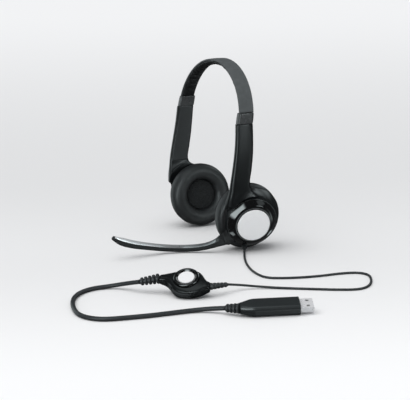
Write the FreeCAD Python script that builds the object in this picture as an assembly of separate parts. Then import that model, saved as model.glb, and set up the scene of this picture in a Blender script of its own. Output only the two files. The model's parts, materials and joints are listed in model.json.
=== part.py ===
"""Office headset: leather-covered headband, two sliding arms, pivoting ear cups, boom microphone,
a lead with an inline remote, and a USB plug.

Millimetres, +Z up.  +X is the wearer's left, the side with the microphone, and -Y is the wearer's front.
The headset is drawn about a vertical line through the middle of the two ear cups, then everything but the
cords is moved back by ROW_SHIFT, so that the origin is under the middle of the headset's box.
"""
import FreeCAD, Part
import math
import os

V = FreeCAD.Vector

# ---- driving dimensions ------------------------------------------------------------------------
ROW_SHIFT = V(0, 48.2, -0.6)

CUP_Z = 33.0            # height of the ear cups' centres over the surface
FACE_X = 42.6           # from the middle to the centre of a cushion's face
CUP_TILT = 6.0          # the bottoms of the cups lean in by this many degrees
CUSHION_R = 31.0
CUSHION_DEEP = 16.4
EAR_R = 16.4            # the hole in the cushion
SPEAKER_R = 15.0
BAFFLE_R = 25.7
BAFFLE_T = 15.0         # front of the baffle, measured from the cushion's face

DOME_R = 31.0           # the housing is part of a ball
DOME_WALL = 1.6
PLATE = 1.0             # thickness of the flat wall under the badge's ring
DOME_RIM = 19.8         # where the housing's rim stands, measured from the cushion's face
BADGE_R = 15.5
BADGE_AT = V(75.0, -3.8, 27.4)
BADGE_TILT = 13.8       # the badge looks down and a little to the front
BADGE_YAW = 9.8
BEZEL_R = 23.7
BEZEL_LOW = -6.5        # levels along the housing's axis, counted from the badge's face
HUB_LOW = -9.0
HUB_GAP = 0.2

ARM_TOP = 121.1
STRIP_DIR = V(4.3, -7.0, -49.6)     # the slider strip runs down inside the arm
STRIP_LONG = 50.0
STRIP_WIDE = 9.0
STRIP_THICK = 1.6
COVER_THICK = 1.4
ARM_WALL = 1.4

BAND_HALF = 68.3        # outer surface of the headband, half an ellipse
BAND_RISE = 55.8
BAND_BASE = 118.0
BAND_Y = -7.3           # middle of the strap at the ellipse's base
BAND_LEAN = 0.137       # how far the band leans back for each millimetre it rises
BAND_WIDE = 14.8
STRAP_THICK = 1.7
SPRING_THICK = 0.6
SPRING_WIDE = 9.0
PAD_THICK = 2.0
COLLAR_TALL = 9.8
COLLAR_GRIP = 3.4       # how far the slider strip and the band's spring each reach into the collar

PIVOT_T = 19.8          # the cup's pivot, measured from the cushion's face
PIN_R = 1.0
PIN_CLEAR = 0.06
EAR_IN = 3.2
EAR_OUT = 4.8
EAR_ROUND = 1.8         # outer radius of the ears that hold the pins

LEAD_D = 2.0
CABLE_D = 3.7

REMOTE_AT = V(165.7, -64.7, 10.1)
REMOTE_DIR = V(0.60, 0.80, 0.0)
REMOTE_ROLL = 28.0
PLUG_NOSE = V(236.3, -50.4, 6.3)
PLUG_DIR = V(0.328, 0.945, 0.0)
PLUG_ROLL = 20.0

# The middle lines of the two cords, from end to end, with the surface at Z = 0.
LEAD_ROUTE = [
    V(65.5, 39, 3.3), V(71.8, 35.8, 2.2), V(80.5, 31.4, 1.2), V(93, 25.8, 1.05), V(108, 20.2, 1.05),
    V(124, 15.8, 1.05), V(140, 14, 1.05), V(153.5, 15.5, 1.05), V(161, 26.1, 1.05), V(167.3, 41.6, 1.05),
    V(171.4, 59.6, 1.05), V(172.6, 78.1, 1.05), V(177.2, 93.1, 1.05), V(187.5, 98.2, 1.05),
    V(202, 91.8, 1.05), V(216.5, 81.1, 1.05), V(222.2, 68.1, 1.05), V(213.8, 51.1, 1.05),
    V(202.5, 34.8, 1.05), V(192.5, 20, 1.05),
    V(182.6, 6.2, 1.2), V(175.8, -6, 2.2), V(173.0, -15.8, 3.8), V(173.2, -23.6, 5.4), V(174.6, -30.9, 7.0),
]
CABLE_ROUTE = [
    V(138.4, -95.4, 9.0), V(129.8, -100.7, 6.6), V(121.4, -106.8, 3.9), V(116.2, -115.4, 2.1),
    V(114.6, -127.4, 1.9), V(119.6, -140.4, 1.9), V(131, -150.8, 1.9), V(145, -157.2, 1.9),
    V(161, -161.6, 1.9), V(177.5, -163.6, 1.9), V(190.7, -158.8, 1.9), V(199.2, -149, 1.9),
    V(203.6, -130.4, 1.9), V(207.2, -111.9, 1.9),
    V(209.0, -93.4, 1.95), V(211.4, -76.9, 2.1), V(217.6, -65.6, 3.3), V(226.2, -58.4, 4.9),
]


# ---- small tools -------------------------------------------------------------------------------
def frame(origin, x_dir, z_dir):
    """A placement whose Z is z_dir and whose X is as near x_dir as it can be."""
    z = V(z_dir)
    z.normalize()
    y = z.cross(x_dir)
    y.normalize()
    return FreeCAD.Placement(origin, FreeCAD.Rotation(y.cross(z), y, z, "ZXY"))


def place(shape, placement):
    out = shape.copy()
    out.Placement = placement.multiply(out.Placement)
    return out


def edges(start, steps, lift):
    """Edges through steps: a pair is a straight run, and two pairs are an arc by way of the first."""
    out = []
    here = lift(start)
    for step in steps:
        if isinstance(step[0], tuple):
            there = lift(step[1])
            out.append(Part.Arc(here, lift(step[0]), there).toShape())
        else:
            there = lift(step)
            out.append(Part.LineSegment(here, there).toShape())
        here = there
    return out


def turned(start, *steps):
    """A solid of revolution about Z from a closed outline in (radius, height)."""
    wire = Part.Wire(edges(start, steps + (start,), lambda p: V(p[0], 0, p[1])))
    return Part.Face(wire).revolve(V(0, 0, 0), V(0, 0, 1), 360)


def plate(start, *steps, low=0.0, high=1.0):
    """A flat piece with a closed outline in (x, y), from height low to high."""
    wire = Part.Wire(edges(start, steps + (start,), lambda p: V(p[0], p[1], low)))
    return Part.Face(wire).extrude(V(0, 0, high - low))


def disc(radius, low, high, x=0.0, y=0.0):
    return Part.makeCylinder(radius, high - low, V(x, y, low))


def tube(outer, inner, low, high):
    return disc(outer, low, high).cut(disc(inner, low - 1, high + 1))


def block(x0, x1, y0, y1, z0, z1):
    return Part.makeBox(x1 - x0, y1 - y0, z1 - z0, V(x0, y0, z0))


def ring_of(shape, count, first=0.0):
    """Copies of a shape, evenly turned about Z."""
    out = []
    for i in range(count):
        one = shape.copy()
        one.rotate(V(0, 0, 0), V(0, 0, 1), first + 360.0 * i / count)
        out.append(one)
    return out


def joined(shapes):
    first = shapes[0]
    return first.fuse(shapes[1:]).removeSplitter() if len(shapes) > 1 else first


def screw(radius, head, long, head_high=1.2):
    """A pan-head screw along -Z from its head's underside at 0, with a cross recess."""
    body = joined([disc(head, 0, head_high), disc(radius, -long, 0)])
    slot = block(-head * 0.7, head * 0.7, -0.25, 0.25, head_high - 0.6, head_high + 1)
    cross = slot.copy()
    cross.rotate(V(0, 0, 0), V(0, 0, 1), 90)
    return body.cut(joined([slot, cross]))


def rounded(wide, tall, radius):
    """A closed rounded rectangle in the XY plane, centred on the origin."""
    a, b, r = wide / 2, tall / 2, radius
    k = r * (1 - math.sqrt(0.5))
    steps = (((a - k, b - k), (a - r, b)), (-a + r, b), ((-a + k, b - k), (-a, b - r)), (-a, -b + r),
             ((-a + k, -b + k), (-a + r, -b)), (a - r, -b), ((a - k, -b + k), (a, -b + r)), (a, b - r))
    return Part.Wire(edges((a, b - r), steps, lambda p: V(p[0], p[1], 0)))


def mirrored(shape):
    return shape.mirror(V(0, 0, 0), V(1, 0, 0))


# ---- frames of the left ear --------------------------------------------------------------------
tilt = math.radians(CUP_TILT)
CUP = frame(V(FACE_X, 0, CUP_Z), V(0, 1, 0), V(math.cos(tilt), 0, -math.sin(tilt)))
look_down = math.radians(BADGE_TILT)
look_out = math.radians(BADGE_YAW)
BADGE_AXIS = V(math.cos(look_down) * math.cos(look_out), -math.cos(look_down) * math.sin(look_out),
               -math.sin(look_down))
DOME = frame(BADGE_AT, V(math.sin(look_out), math.cos(look_out), 0), BADGE_AXIS)
BALL_DEPTH = math.sqrt(DOME_R ** 2 - BADGE_R ** 2)      # from the badge's face to the ball's centre


def ball_r(level, shrink=0.0):
    """Radius of the housing's ball at a level along its axis."""
    return math.sqrt((DOME_R - shrink) ** 2 - (level + BALL_DEPTH) ** 2)


# ---- ear cup, drawn about its own axis with the cushion's face at 0 ----------------------------
def cushion():
    crown = (EAR_R + CUSHION_R) / 2
    return turned((EAR_R, 5.5), ((EAR_R + 2.0, 1.5), (crown, 0.0)), ((CUSHION_R - 1.9, 1.9), (CUSHION_R, 6.0)),
                  (CUSHION_R, 12.6), ((CUSHION_R - 0.9, 15.4), (CUSHION_R - 3.2, CUSHION_DEEP)),
                  (BAFFLE_R + 0.1, CUSHION_DEEP), (BAFFLE_R + 0.1, BAFFLE_T - 0.1), (EAR_R, BAFFLE_T - 0.1))


def scrim():
    return disc(EAR_R - 0.2, 6.2, 7.4)


def speaker_frame():
    body = turned((9.2, 9.4), (SPEAKER_R, 9.4), (SPEAKER_R, 11.2), (11.5, 12.6), (9.2, 12.6))
    return body.cut(joined(ring_of(disc(1.2, 9, 13, x=11.6), 6)))


def speaker_cone():
    """Thin film: a shallow middle cone and a rolled edge."""
    return turned((0, 7.8), (5.0, 8.0), (8.8, 8.7), ((11.8, 8.0), (14.7, 8.9)), (14.7, 9.3),
                  ((11.8, 8.5), (8.8, 9.15)), (5.0, 8.45), (0, 8.3))


def speaker_magnet():
    return joined([disc(9.1, 9.7, 15.4), disc(6.0, 15.4, 16.2)])


SCREW_RING = 22.6


def screw_bores(radius, low, high):
    return ring_of(disc(radius, low, high, x=SCREW_RING), 3, 45)


def baffle():
    """Plate with a collar round the speaker, vents, and counterbores for the cup's screws."""
    body = joined([tube(EAR_R - 0.1, SPEAKER_R + 0.1, 7.6, BAFFLE_T),
                   tube(BAFFLE_R, 9.6, BAFFLE_T, BAFFLE_T + 1)])
    vents = ring_of(disc(1.5, 14, 17, x=19.3), 12)
    return body.cut(joined(vents)).cut(screw_bores(1.5, 14, BAFFLE_T + 0.6) + screw_bores(0.75, 14, 17))


def cup_shell():
    """Shallow cover behind the baffle, with a hollow in its back for the pivot and two ears for its pins."""
    rear = BAFFLE_T + 1.05
    body = turned((BAFFLE_R, rear), (BAFFLE_R, CUSHION_DEEP + 0.05), (27.2, CUSHION_DEEP + 0.05), (27.2, 16.6),
                  (26.4, 16.8), (20.0, 17.55), (9.6, 18.5), (8.2, 18.5), (8.2, 17.2), (0, 17.2), (0, 16.5),
                  (8.4, 16.5), (9.4, 17.3), (19.6, 16.45), (23.8, rear))
    ears = []
    for side in (-1, 1):
        ear = block(EAR_IN, EAR_OUT, -EAR_ROUND, EAR_ROUND, 17.0, PIVOT_T)
        ear = ear.fuse(Part.makeCylinder(EAR_ROUND, EAR_OUT - EAR_IN, V(EAR_IN, 0, PIVOT_T), V(1, 0, 0)))
        ear.rotate(V(0, 0, 0), V(0, 0, 1), 0 if side > 0 else 180)
        ears.append(ear)
    pin = Part.makeCylinder(PIN_R + PIN_CLEAR, 14, V(-7, 0, PIVOT_T), V(1, 0, 0))
    return joined([body] + ears).cut([pin] + screw_bores(0.75, 15, 17.0))


def cup_screws():
    one = screw(0.7, 1.4, 1.3, 0.6)
    one.rotate(V(0, 0, 0), V(1, 0, 0), 180)
    one.translate(V(SCREW_RING, 0, BAFFLE_T + 0.6))
    return ring_of(one, 3, 45)


def pivot_cross():
    """Universal joint between arm and cup: the upright pin turns in the arm, the level one in the cup."""
    half = EAR_ROUND - 0.4
    parts = [block(-half, half, -half, half, PIVOT_T - half, PIVOT_T + half)]
    for way in (V(1, 0, 0), V(0, 1, 0)):
        start = V(0, 0, PIVOT_T) - way * (EAR_OUT + 0.3)
        parts.append(Part.makeCylinder(PIN_R, 2 * EAR_OUT + 0.6, start, way))
    return joined(parts)


# ---- housing, drawn about its own axis with the badge's face at 0 ------------------------------
def dome_skin(shrink, top):
    """Solid cap of the housing's ball, from well below the rim up to a level."""
    ball = Part.makeSphere(DOME_R - shrink, V(0, 0, -BALL_DEPTH))
    return ball.common(disc(60, -BALL_DEPTH, top))


def rim_side(shape, placement):
    """Keep what stands outside the rim's plane, which lies square to the cup's axis."""
    keep = place(disc(60, DOME_RIM, DOME_RIM + 60), CUP)
    return place(shape, placement).common(keep)


def arm_section(z, front, rear, inner, outer, r, s):
    """Level outline of the arm at height z, rounded by r outside and by s inside."""
    a, b, c, d = inner, outer, front, rear
    q = 1 - math.sqrt(0.5)
    steps = ((b - r, c), ((b - r * q, c + r * q), (b, c + r)), (b, d - r), ((b - r * q, d - r * q), (b - r, d)),
             (a + s, d), ((a + s * q, d - s * q), (a, d - s)), (a, c + s), ((a + s * q, c + s * q), (a + s, c)))
    return Part.Wire(edges((a + s, c), steps, lambda p: V(p[0], p[1], z)))


# height, front edge, rear edge, inner face, outer face, rounding outside and inside
ARM_STATIONS = [
    (ARM_TOP, -16.2, 0.3, 62.6, 68.9, 1.8, 1.4),
    (108.0, -17.4, -0.2, 64.0, 70.5, 2.0, 2.0),
    (94.0, -19.4, -1.2, 65.3, 72.0, 2.2, 2.2),
    (80.0, -22.0, -3.1, 66.2, 73.0, 2.6, 2.2),
    (68.0, -24.2, -5.0, 66.4, 73.5, 3.4, 2.0),
    (60.0, -25.3, -2.6, 65.6, 73.5, 4.8, 1.6),
    (52.0, -26.9, 4.0, 63.6, 72.8, 6.4, 1.2),
]
HOLLOW_END = 66.0


def arm_hollow():
    """Space inside the arm for the slider strip, open to the inner side and at the top."""
    wires = []
    for z, front, rear, inner, outer, *_ in ARM_STATIONS:
        if z >= HOLLOW_END:
            top = ARM_TOP + 1 if z == ARM_TOP else z
            wires.append(arm_section(top, front + ARM_WALL, rear - ARM_WALL, inner - 2, outer - ARM_WALL,
                                     1.2, 0.4))
    return Part.makeLoft(wires, True)


def arm_shell(with_boom):
    """Outer shell: the arm and the domed housing in one moulding."""
    wires = [arm_section(*station) for station in ARM_STATIONS]
    arm = Part.makeLoft(wires, True)
    top = HUB_LOW if with_boom else BEZEL_LOW
    cap = rim_side(dome_skin(0, top - HUB_GAP), DOME)
    well_r = ball_r(top) + 0.6 if with_boom else BEZEL_R + 0.3
    well = place(disc(well_r, top - HUB_GAP, 20), DOME)
    body = arm.fuse(cap).cut(well)
    ceiling = top - HUB_GAP - PLATE
    inside = rim_side(dome_skin(DOME_WALL, ceiling), DOME)
    under = place(disc(CUSHION_R + 2.4, 0, DOME_RIM), CUP)
    body = body.cut([inside, arm_hollow(), under])
    body = joined([body] + pivot_ears(ceiling))
    bore = place(Part.makeCylinder(PIN_R + PIN_CLEAR, 16, V(0, -8, PIVOT_T), V(0, 1, 0)), CUP)
    hole = place(disc(2.2, -20, 5), DOME)
    return body.cut([bore, hole]).removeSplitter()


def pivot_ears(ceiling):
    """Two ears under the housing's plate that hold the upright pin of the cross."""
    ears = []
    reach = place(disc(40, -40, ceiling + 0.4), DOME)
    for side in (-1, 1):
        low, high = (EAR_IN, EAR_OUT) if side > 0 else (-EAR_OUT, -EAR_IN)
        ear = block(-EAR_ROUND, EAR_ROUND, low, high, PIVOT_T, PIVOT_T + 8)
        ear = ear.fuse(Part.makeCylinder(EAR_ROUND, EAR_OUT - EAR_IN, V(0, low, PIVOT_T), V(0, 1, 0)))
        ears.append(place(ear, CUP).common(reach))
    return ears


def arm_cover():
    """Inner cover that closes the arm, from its top down to the housing."""
    wires = []
    gap = ARM_WALL + 0.1
    for z, front, rear, inner, *_ in ARM_STATIONS:
        if z >= HOLLOW_END:
            wires.append(arm_section(z, front + gap, rear - gap, inner, inner + COVER_THICK, 0.4, 0.4))
    return Part.makeLoft(wires, True).cut(joined(cover_screw_holes()))


def strip_frame():
    """The slider strip's own frame: Z runs up the strip, X is across its thickness, outward."""
    return frame(V(65.4, -7.6, ARM_TOP), V(1, 0, 0), STRIP_DIR * -1)


SCREW_LEVELS = (-12.0, -47.0)
SCREW_OFF = 6.6


def cover_screw_holes():
    holes = []
    for level in SCREW_LEVELS:
        holes.append(place(Part.makeCylinder(0.9, 8, V(-5, SCREW_OFF, level), V(1, 0, 0)), strip_frame()))
    return holes


def cover_screws():
    out = []
    for level in SCREW_LEVELS:
        one = screw(0.8, 1.4, 3.4, 0.7)
        turn = FreeCAD.Placement(V(-3.2, SCREW_OFF, level), FreeCAD.Rotation(V(0, 1, 0), -90))
        out.append(place(one, strip_frame().multiply(turn)))
    return out


def slider_strip():
    """Flat strip fixed in the band's collar, with click notches down one edge."""
    half = STRIP_WIDE / 2
    body = block(-STRIP_THICK / 2, STRIP_THICK / 2, -half, half, -STRIP_LONG, COLLAR_GRIP)
    notches = []
    for i in range(8):
        notches.append(Part.makeCylinder(0.8, 4, V(-2, -half, -8.0 - 4.0 * i), V(1, 0, 0)))
    return place(body.cut(joined(notches)), strip_frame())


def detent_spring():
    """Small leaf in the arm that clicks into the strip's notches."""
    y = -STRIP_WIDE / 2
    z = -10.0
    wire = Part.Wire([
        Part.LineSegment(V(-0.7, y - 0.9, z + 5), V(-0.7, y - 0.9, z + 1.6)).toShape(),
        Part.Arc(V(-0.7, y - 0.9, z + 1.6), V(-0.7, y - 0.15, z), V(-0.7, y - 0.9, z - 1.6)).toShape(),
        Part.LineSegment(V(-0.7, y - 0.9, z - 1.6), V(-0.7, y - 0.9, z - 5)).toShape(),
        Part.LineSegment(V(-0.7, y - 0.9, z - 5), V(-0.7, y - 1.3, z - 5)).toShape(),
        Part.LineSegment(V(-0.7, y - 1.3, z - 5), V(-0.7, y - 1.3, z - 1.6)).toShape(),
        Part.Arc(V(-0.7, y - 1.3, z - 1.6), V(-0.7, y - 0.55, z), V(-0.7, y - 1.3, z + 1.6)).toShape(),
        Part.LineSegment(V(-0.7, y - 1.3, z + 1.6), V(-0.7, y - 1.3, z + 5)).toShape(),
        Part.LineSegment(V(-0.7, y - 1.3, z + 5), V(-0.7, y - 0.9, z + 5)).toShape(),
    ])
    return place(Part.Face(wire).extrude(V(1.4, 0, 0)), strip_frame())


def bezel_ring(foot):
    """Gloss ring that carries the housing's ball on to the badge; its post ends at the level foot."""
    lip = BADGE_R + 0.25
    inner = BADGE_R - 1.2
    mid = (lip + 0.9 + BEZEL_R) / 2
    crest = (lip + 0.9, -0.25)
    body = turned((inner, -2.6), (inner, -1.35), (lip, -1.35), (lip, -0.45), crest,
                  ((mid, ball_level(mid)), (BEZEL_R, BEZEL_LOW)), (BEZEL_R - 1.6, BEZEL_LOW),
                  (BEZEL_R - 3.2, BEZEL_LOW + 1.6), (lip, -2.6))
    spokes = [disc(inner + 0.5, -4.0, -2.6), tube(3.2, 1.2, foot, -4.0)]
    return joined([body] + spokes).cut(disc(1.2, -20, 5))


def ball_level(radius):
    return math.sqrt(DOME_R ** 2 - radius ** 2) - BALL_DEPTH


def badge():
    return turned((0, -1.3), (BADGE_R - 0.1, -1.3), (BADGE_R - 0.1, -0.35), (BADGE_R - 0.45, 0.0), (0, 0.12))


# ---- boom, drawn in the housing's frame --------------------------------------------------------
# middle of the section (x to the rear, y up, level), half height, half thickness
BOOM_STATIONS = [
    (V(-18.2, -13.4, -7.9), 10.5, 0.9),
    (V(-24.8, -17.0, -9.2), 7.4, 1.5),
    (V(-31.2, -20.6, -10.5), 4.9, 2.4),
    (V(-38.6, -23.7, -12.2), 3.95, 2.8),
    (V(-46.8, -26.1, -14.6), 3.85, 2.9),
    (V(-55.3, -27.7, -17.6), 3.85, 2.9),
    (V(-64.5, -28.4, -20.0), 3.9, 2.9),
    (V(-78.0, -27.4, -21.5), 3.9, 2.9),
    (V(-92.7, -24.4, -21.1), 3.95, 2.9),
    (V(-108.0, -20.3, -20.0), 4.3, 3.0),
    (V(-119.5, -15.8, -19.2), 4.2, 2.8),
    (V(-128.0, -10.8, -18.7), 2.3, 1.5),
]
INLAY_FROM = 2
INLAY_DEEP = 0.8


def boom_points(i, inlay):
    """Section of the boom at a station: a lens whose upper outer facet carries the inlay."""
    middle, half, thick = BOOM_STATIONS[i]
    before = BOOM_STATIONS[max(i - 1, 0)][0]
    after = BOOM_STATIONS[min(i + 1, len(BOOM_STATIONS) - 1)][0]
    along = after - before
    along.normalize()
    up = V(0, 1, 0) if i > 1 else V(-0.6, 0.8, 0)
    up = up - along * up.dot(along)
    up.normalize()
    out = up.cross(along)
    low, top = (thick, -0.05 * half), (-0.15 * thick, half)
    run = V(top[0] - low[0], top[1] - low[1], 0)
    run.normalize()
    deep = INLAY_DEEP if i >= INLAY_FROM else 0.0
    sink = (run.y * deep, -run.x * deep)
    if inlay:
        edge = 0.25
        inset = run * edge
        points = [(low[0] + inset.x, low[1] + inset.y), (top[0] - inset.x, top[1] - inset.y)]
        for x, y in reversed(points):
            points.append((x - sink[0] * 0.95, y - sink[1] * 0.95))
    else:
        points = [(0.3 * thick, -0.9 * half), (0.95 * thick, -0.3 * half), (low[0] - sink[0], low[1] - sink[1]),
                  (top[0] - sink[0], top[1] - sink[1]), (-0.6 * thick, 0.72 * half), (-thick, 0.0),
                  (-0.6 * thick, -0.72 * half)]
    points = [middle + out * x + up * y for x, y in points]
    return Part.makePolygon(points + points[:1])


def boom_arm():
    body = Part.makeLoft([boom_points(i, False) for i in range(len(BOOM_STATIONS))], True)
    cushion_room = place(disc(CUSHION_R + 1.6, -5, DOME_RIM - 1), DOME.inverse().multiply(CUP))
    body = body.cut([disc(BEZEL_R - 0.9, -20, 5), disc(28.5, -20, HUB_LOW), boom_hub(), cushion_room])
    return body.cut([mic_pocket(), mic_slot(0.0)])


def boom_inlay():
    return Part.makeLoft([boom_points(i, True) for i in range(INLAY_FROM, len(BOOM_STATIONS))], True)


def boom_hub():
    """Ring under the bezel that turns with the boom: a band flush with the housing, and a web."""
    high = BEZEL_LOW - HUB_GAP
    skin = dome_skin(0, high).common(disc(60, HUB_LOW, high))
    return skin.cut([disc(8.0, -20, 5), disc(21.4, HUB_LOW - 1, high - 1.2)])


def mic_frame():
    """Frame of the microphone, near the tip: X along the boom, Z out of its outer side."""
    return frame(V(-118.0, -18.0, -19.2), V(-1, 0.45, 0), V(0, 0, 1))


def mic_pocket():
    return place(disc(1.9, -1.3, 1.1), mic_frame())


def mic_slot(shrink):
    """Long opening from the lower outer facet to the capsule."""
    half, r = 2.6, 0.8 - shrink
    return place(plate((half, r), ((half + r, 0), (half, -r)), (-half, -r), ((-half - r, 0), (-half, r)),
                       low=0.9, high=4.5).translate(V(0, -0.4, 0)), mic_frame())


def mic_capsule():
    return place(turned((0, -1.2), (1.8, -1.2), (1.8, 0.7), (1.5, 0.9), (0, 0.9)), mic_frame())


def mic_grille():
    """Slotted plug in the microphone opening."""
    keep = place(disc(4.5, 1.0, 1.6), mic_frame())
    body = mic_slot(0.08).common(keep)
    bars = [block(-2.5 + i * 1.0, -2.1 + i * 1.0, -0.9, 0.1, 0, 5) for i in range(6)]
    return body.cut(place(joined(bars), mic_frame()))


# ---- headband ----------------------------------------------------------------------------------
def band_arch(depth_from, depth_to, wide, low):
    """Strip of the headband between two depths under its outer surface, down to a height on both sides."""
    def oval(depth):
        a, b = BAND_HALF - depth, BAND_RISE - depth
        curve = Part.Ellipse(V(0, 0, 0), max(a, b), min(a, b))
        return curve.toShape()
    outer = Part.Face(Part.Wire(oval(depth_from)))
    inner = Part.Face(Part.Wire(oval(depth_to)))
    flat = outer.cut(inner).extrude(V(0, 0, wide))
    flat.translate(V(0, 0, -wide / 2))
    flat.rotate(V(0, 0, 0), V(1, 0, 0), 90)
    flat.translate(V(0, BAND_Y, BAND_BASE))
    lean = FreeCAD.Matrix()
    lean.A23 = BAND_LEAN
    lean.A24 = -BAND_LEAN * BAND_BASE
    flat = flat.transformGeometry(lean)
    return flat.common(block(-90, 90, -60, 60, low, 200))


COLLAR_TOP = ARM_TOP + COLLAR_TALL


def band_strap():
    return band_arch(0, STRAP_THICK, BAND_WIDE, COLLAR_TOP + 0.1)


def band_pad():
    low = STRAP_THICK + SPRING_THICK + 0.1
    return band_arch(low, low + PAD_THICK, BAND_WIDE - 0.6, COLLAR_TOP + 0.6)


def band_spring(slack=0.0):
    low = STRAP_THICK + 0.05 - slack
    bottom = COLLAR_TOP - 2 * COLLAR_GRIP + 1 - slack
    return band_arch(low, low + SPRING_THICK + 2 * slack, SPRING_WIDE + 2 * slack, bottom)


def band_collar():
    """Sleeve at the end of the band: the strip is fixed in it, and the arm's top meets it."""
    levels = (0.05, COLLAR_TALL)
    wires = []
    for level in levels:
        lean = level * BAND_LEAN
        wires.append(arm_section(ARM_TOP + level, -16.0 + lean, 0.3 + lean, 62.4 - level * 0.10, 68.9 - level * 0.05,
                                 1.8, 1.4))
    body = Part.makeLoft(wires, True)
    pocket = block(-STRIP_THICK / 2 - 0.05, STRIP_THICK / 2 + 0.05, -STRIP_WIDE / 2 - 0.05, STRIP_WIDE / 2 + 0.05,
                   -5, COLLAR_GRIP + 0.05)
    return body.cut([place(pocket, strip_frame()), band_spring(0.05)])


# ---- cords -------------------------------------------------------------------------------------
def cord(route, diameter, name):
    """Round cord along straight runs joined by tangent arcs."""
    runs = [(b - a).Length for a, b in zip(route, route[1:])]
    lines = []
    here = route[0]
    radii = []
    for i in range(1, len(route) - 1):
        back = route[i - 1] - route[i]
        on = route[i + 1] - route[i]
        back.normalize()
        on.normalize()
        turn = math.pi - back.getAngle(on)
        reach = 0.45 * min(runs[i - 1], runs[i])
        radius = reach / math.tan(turn / 2)
        radii.append(radius)
        start = route[i] + back * reach
        end = route[i] + on * reach
        half = back + on
        half.normalize()
        middle = route[i] + half * (radius / math.cos(turn / 2) - radius)
        lines.append(Part.LineSegment(here, start).toShape())
        lines.append(Part.Arc(start, middle, end).toShape())
        here = end
    lines.append(Part.LineSegment(here, route[-1]).toShape())
    path = Part.Wire(lines)
    ring = Part.Wire(Part.makeCircle(diameter / 2, route[0], route[1] - route[0]))
    solid = path.makePipeShell([ring], True, True)
    ideal = path.Length * math.pi * diameter ** 2 / 4
    print(name, "length %.1f" % path.Length, "volume/ideal %.4f" % (solid.Volume / ideal),
          "radii", [round(r) for r in radii], "runs", [round(r) for r in runs])
    return solid


def relief(start, end, big, small, ribs, housing):
    """Ribbed strain relief from a housing at start to the free cord at end."""
    along = end - start
    pitch = along.Length / ribs
    steps = []
    for i in range(ribs):
        outer = big + (small - big) * i / (ribs - 1)
        z = i * pitch
        steps += [(outer, z), (outer, z + 0.58 * pitch), (outer * 0.66, z + 0.62 * pitch),
                  (outer * 0.66, z + 0.97 * pitch)]
    steps += [(steps[-1][0], along.Length), (0, along.Length)]
    body = turned((0, 0), *steps)
    return place(body, frame(start, V(0, 0, 1), along)).cut(housing)


def cable_boot():
    """Tapered boot where the lead leaves the housing, low and outward, hugging the housing's ball."""
    start = V(57.6, -5.3, 4.9)
    end = LEAD_ROUTE[0] - ROW_SHIFT
    long = (end - start).Length
    body = turned((0, 0), (2.7, 0), (2.7, 4.0), (2.1, 6.0), (1.7, long), (0, long))
    body = place(body, frame(start, V(0, 0, 1), end - start))
    ball = place(Part.makeSphere(DOME_R + 0.15, V(0, 0, -BALL_DEPTH)), DOME)
    return body.cut([ball, place(disc(60, -5, DOME_RIM - 0.3), CUP)])


# ---- inline remote, drawn in its own frame: X along the cord, Z out of its face ----------------
roll = math.radians(REMOTE_ROLL)
REMOTE_SIDE = V(0.80 * math.sin(roll), -0.60 * math.sin(roll), math.cos(roll))
REMOTE = frame(REMOTE_AT, REMOTE_DIR, REMOTE_SIDE)
REMOTE_SPLIT = 0.4
BUTTON_AT = (0.0, 2.6)
BUTTON_R = 6.9
WHEEL_AT = (0.6, -2.0)
WHEEL_R = 12.6


def remote_outline(inset, low, high):
    """Lozenge with a neck at each end, the left one high and the right one low."""
    k = inset
    return plate((-24 + k, 7.8 - k), ((-14, 10.8 - k), (-6.5, 14.2 - k)), ((1.5, 16.0 - k), (9.0, 13.2 - k)),
                 ((13.0, 8.6 - k), (15.5, 4.2 - k)), ((17.6, 1.9 - k), (20.5 - k, 0.8 - k)), (20.5 - k, -5.8 + k),
                 ((15.6, -8.4 + k), (12.5, -11.8 + k)), ((3.6, -14.4 + k), (-5.2, -12.2 + k)),
                 ((-10.0, -8.2 + k), (-13.6, -3.2 + k)), ((-17.4, 0.4 + k), (-24 + k, 1.2 + k)), low=low, high=high)


def stretched_ball(radius, centre_z, longer):
    """Ball drawn out along the remote."""
    ball = Part.makeSphere(radius, V(0, 0, centre_z))
    matrix = FreeCAD.Matrix()
    matrix.A11 = longer
    return ball.transformGeometry(matrix)


REMOTE_SCREWS = ((-14.0, 3.6), (13.0, -2.6))


def remote_top():
    """Upper shell, crowned, with a round well for the bezel and two posts for the screws."""
    body = remote_outline(0, REMOTE_SPLIT, 8).common(stretched_ball(46.0, 4.8 - 46, 1.9))
    hollow = remote_outline(1.3, -1, 7).common(stretched_ball(44.7, 4.8 - 46, 1.9))
    well = disc(11.2, 2.9, 9, *BUTTON_AT)
    shaft = disc(7.6, -1, 9, *BUTTON_AT)
    return body.cut([hollow, well, shaft, wheel_room()])


def remote_bottom():
    """Lower shell with a boat-shaped belly, and a boss round each screw."""
    body = remote_outline(0, -9, REMOTE_SPLIT - 0.05)
    hollow = remote_outline(1.3, -9, 2).common(remote_belly(1.3))
    bosses = joined([disc(2.0, -9, -3.7, x=x, y=y) for x, y in REMOTE_SCREWS])
    bores = [disc(1.35, -9, -5.0, x=x, y=y) for x, y in REMOTE_SCREWS]
    bores += [disc(0.75, -9, 0, x=x, y=y) for x, y in REMOTE_SCREWS]
    return body.cut(hollow).fuse(bosses).common(remote_belly(0)).cut([wheel_room()] + bores)


def remote_belly(wall):
    """The ball, drawn out along the remote, that rounds the lower shell, wall millimetres smaller."""
    return stretched_ball(24.0 - wall, 24.0 - 8.2, 1.6)


def wheel_room():
    return disc(WHEEL_R + 0.4, -1.7, 1.9, *WHEEL_AT)


def volume_wheel():
    """Thumbwheel whose rim stands out of the remote's long side, ribbed for grip."""
    body = disc(WHEEL_R, -1.3, 1.5).cut(disc(1.55, -3, 3))
    ribs = ring_of(disc(0.45, -2, 2, x=WHEEL_R + 0.2), 60)
    body = body.cut(joined(ribs))
    return body.translate(V(WHEEL_AT[0], WHEEL_AT[1], 0))


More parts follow.
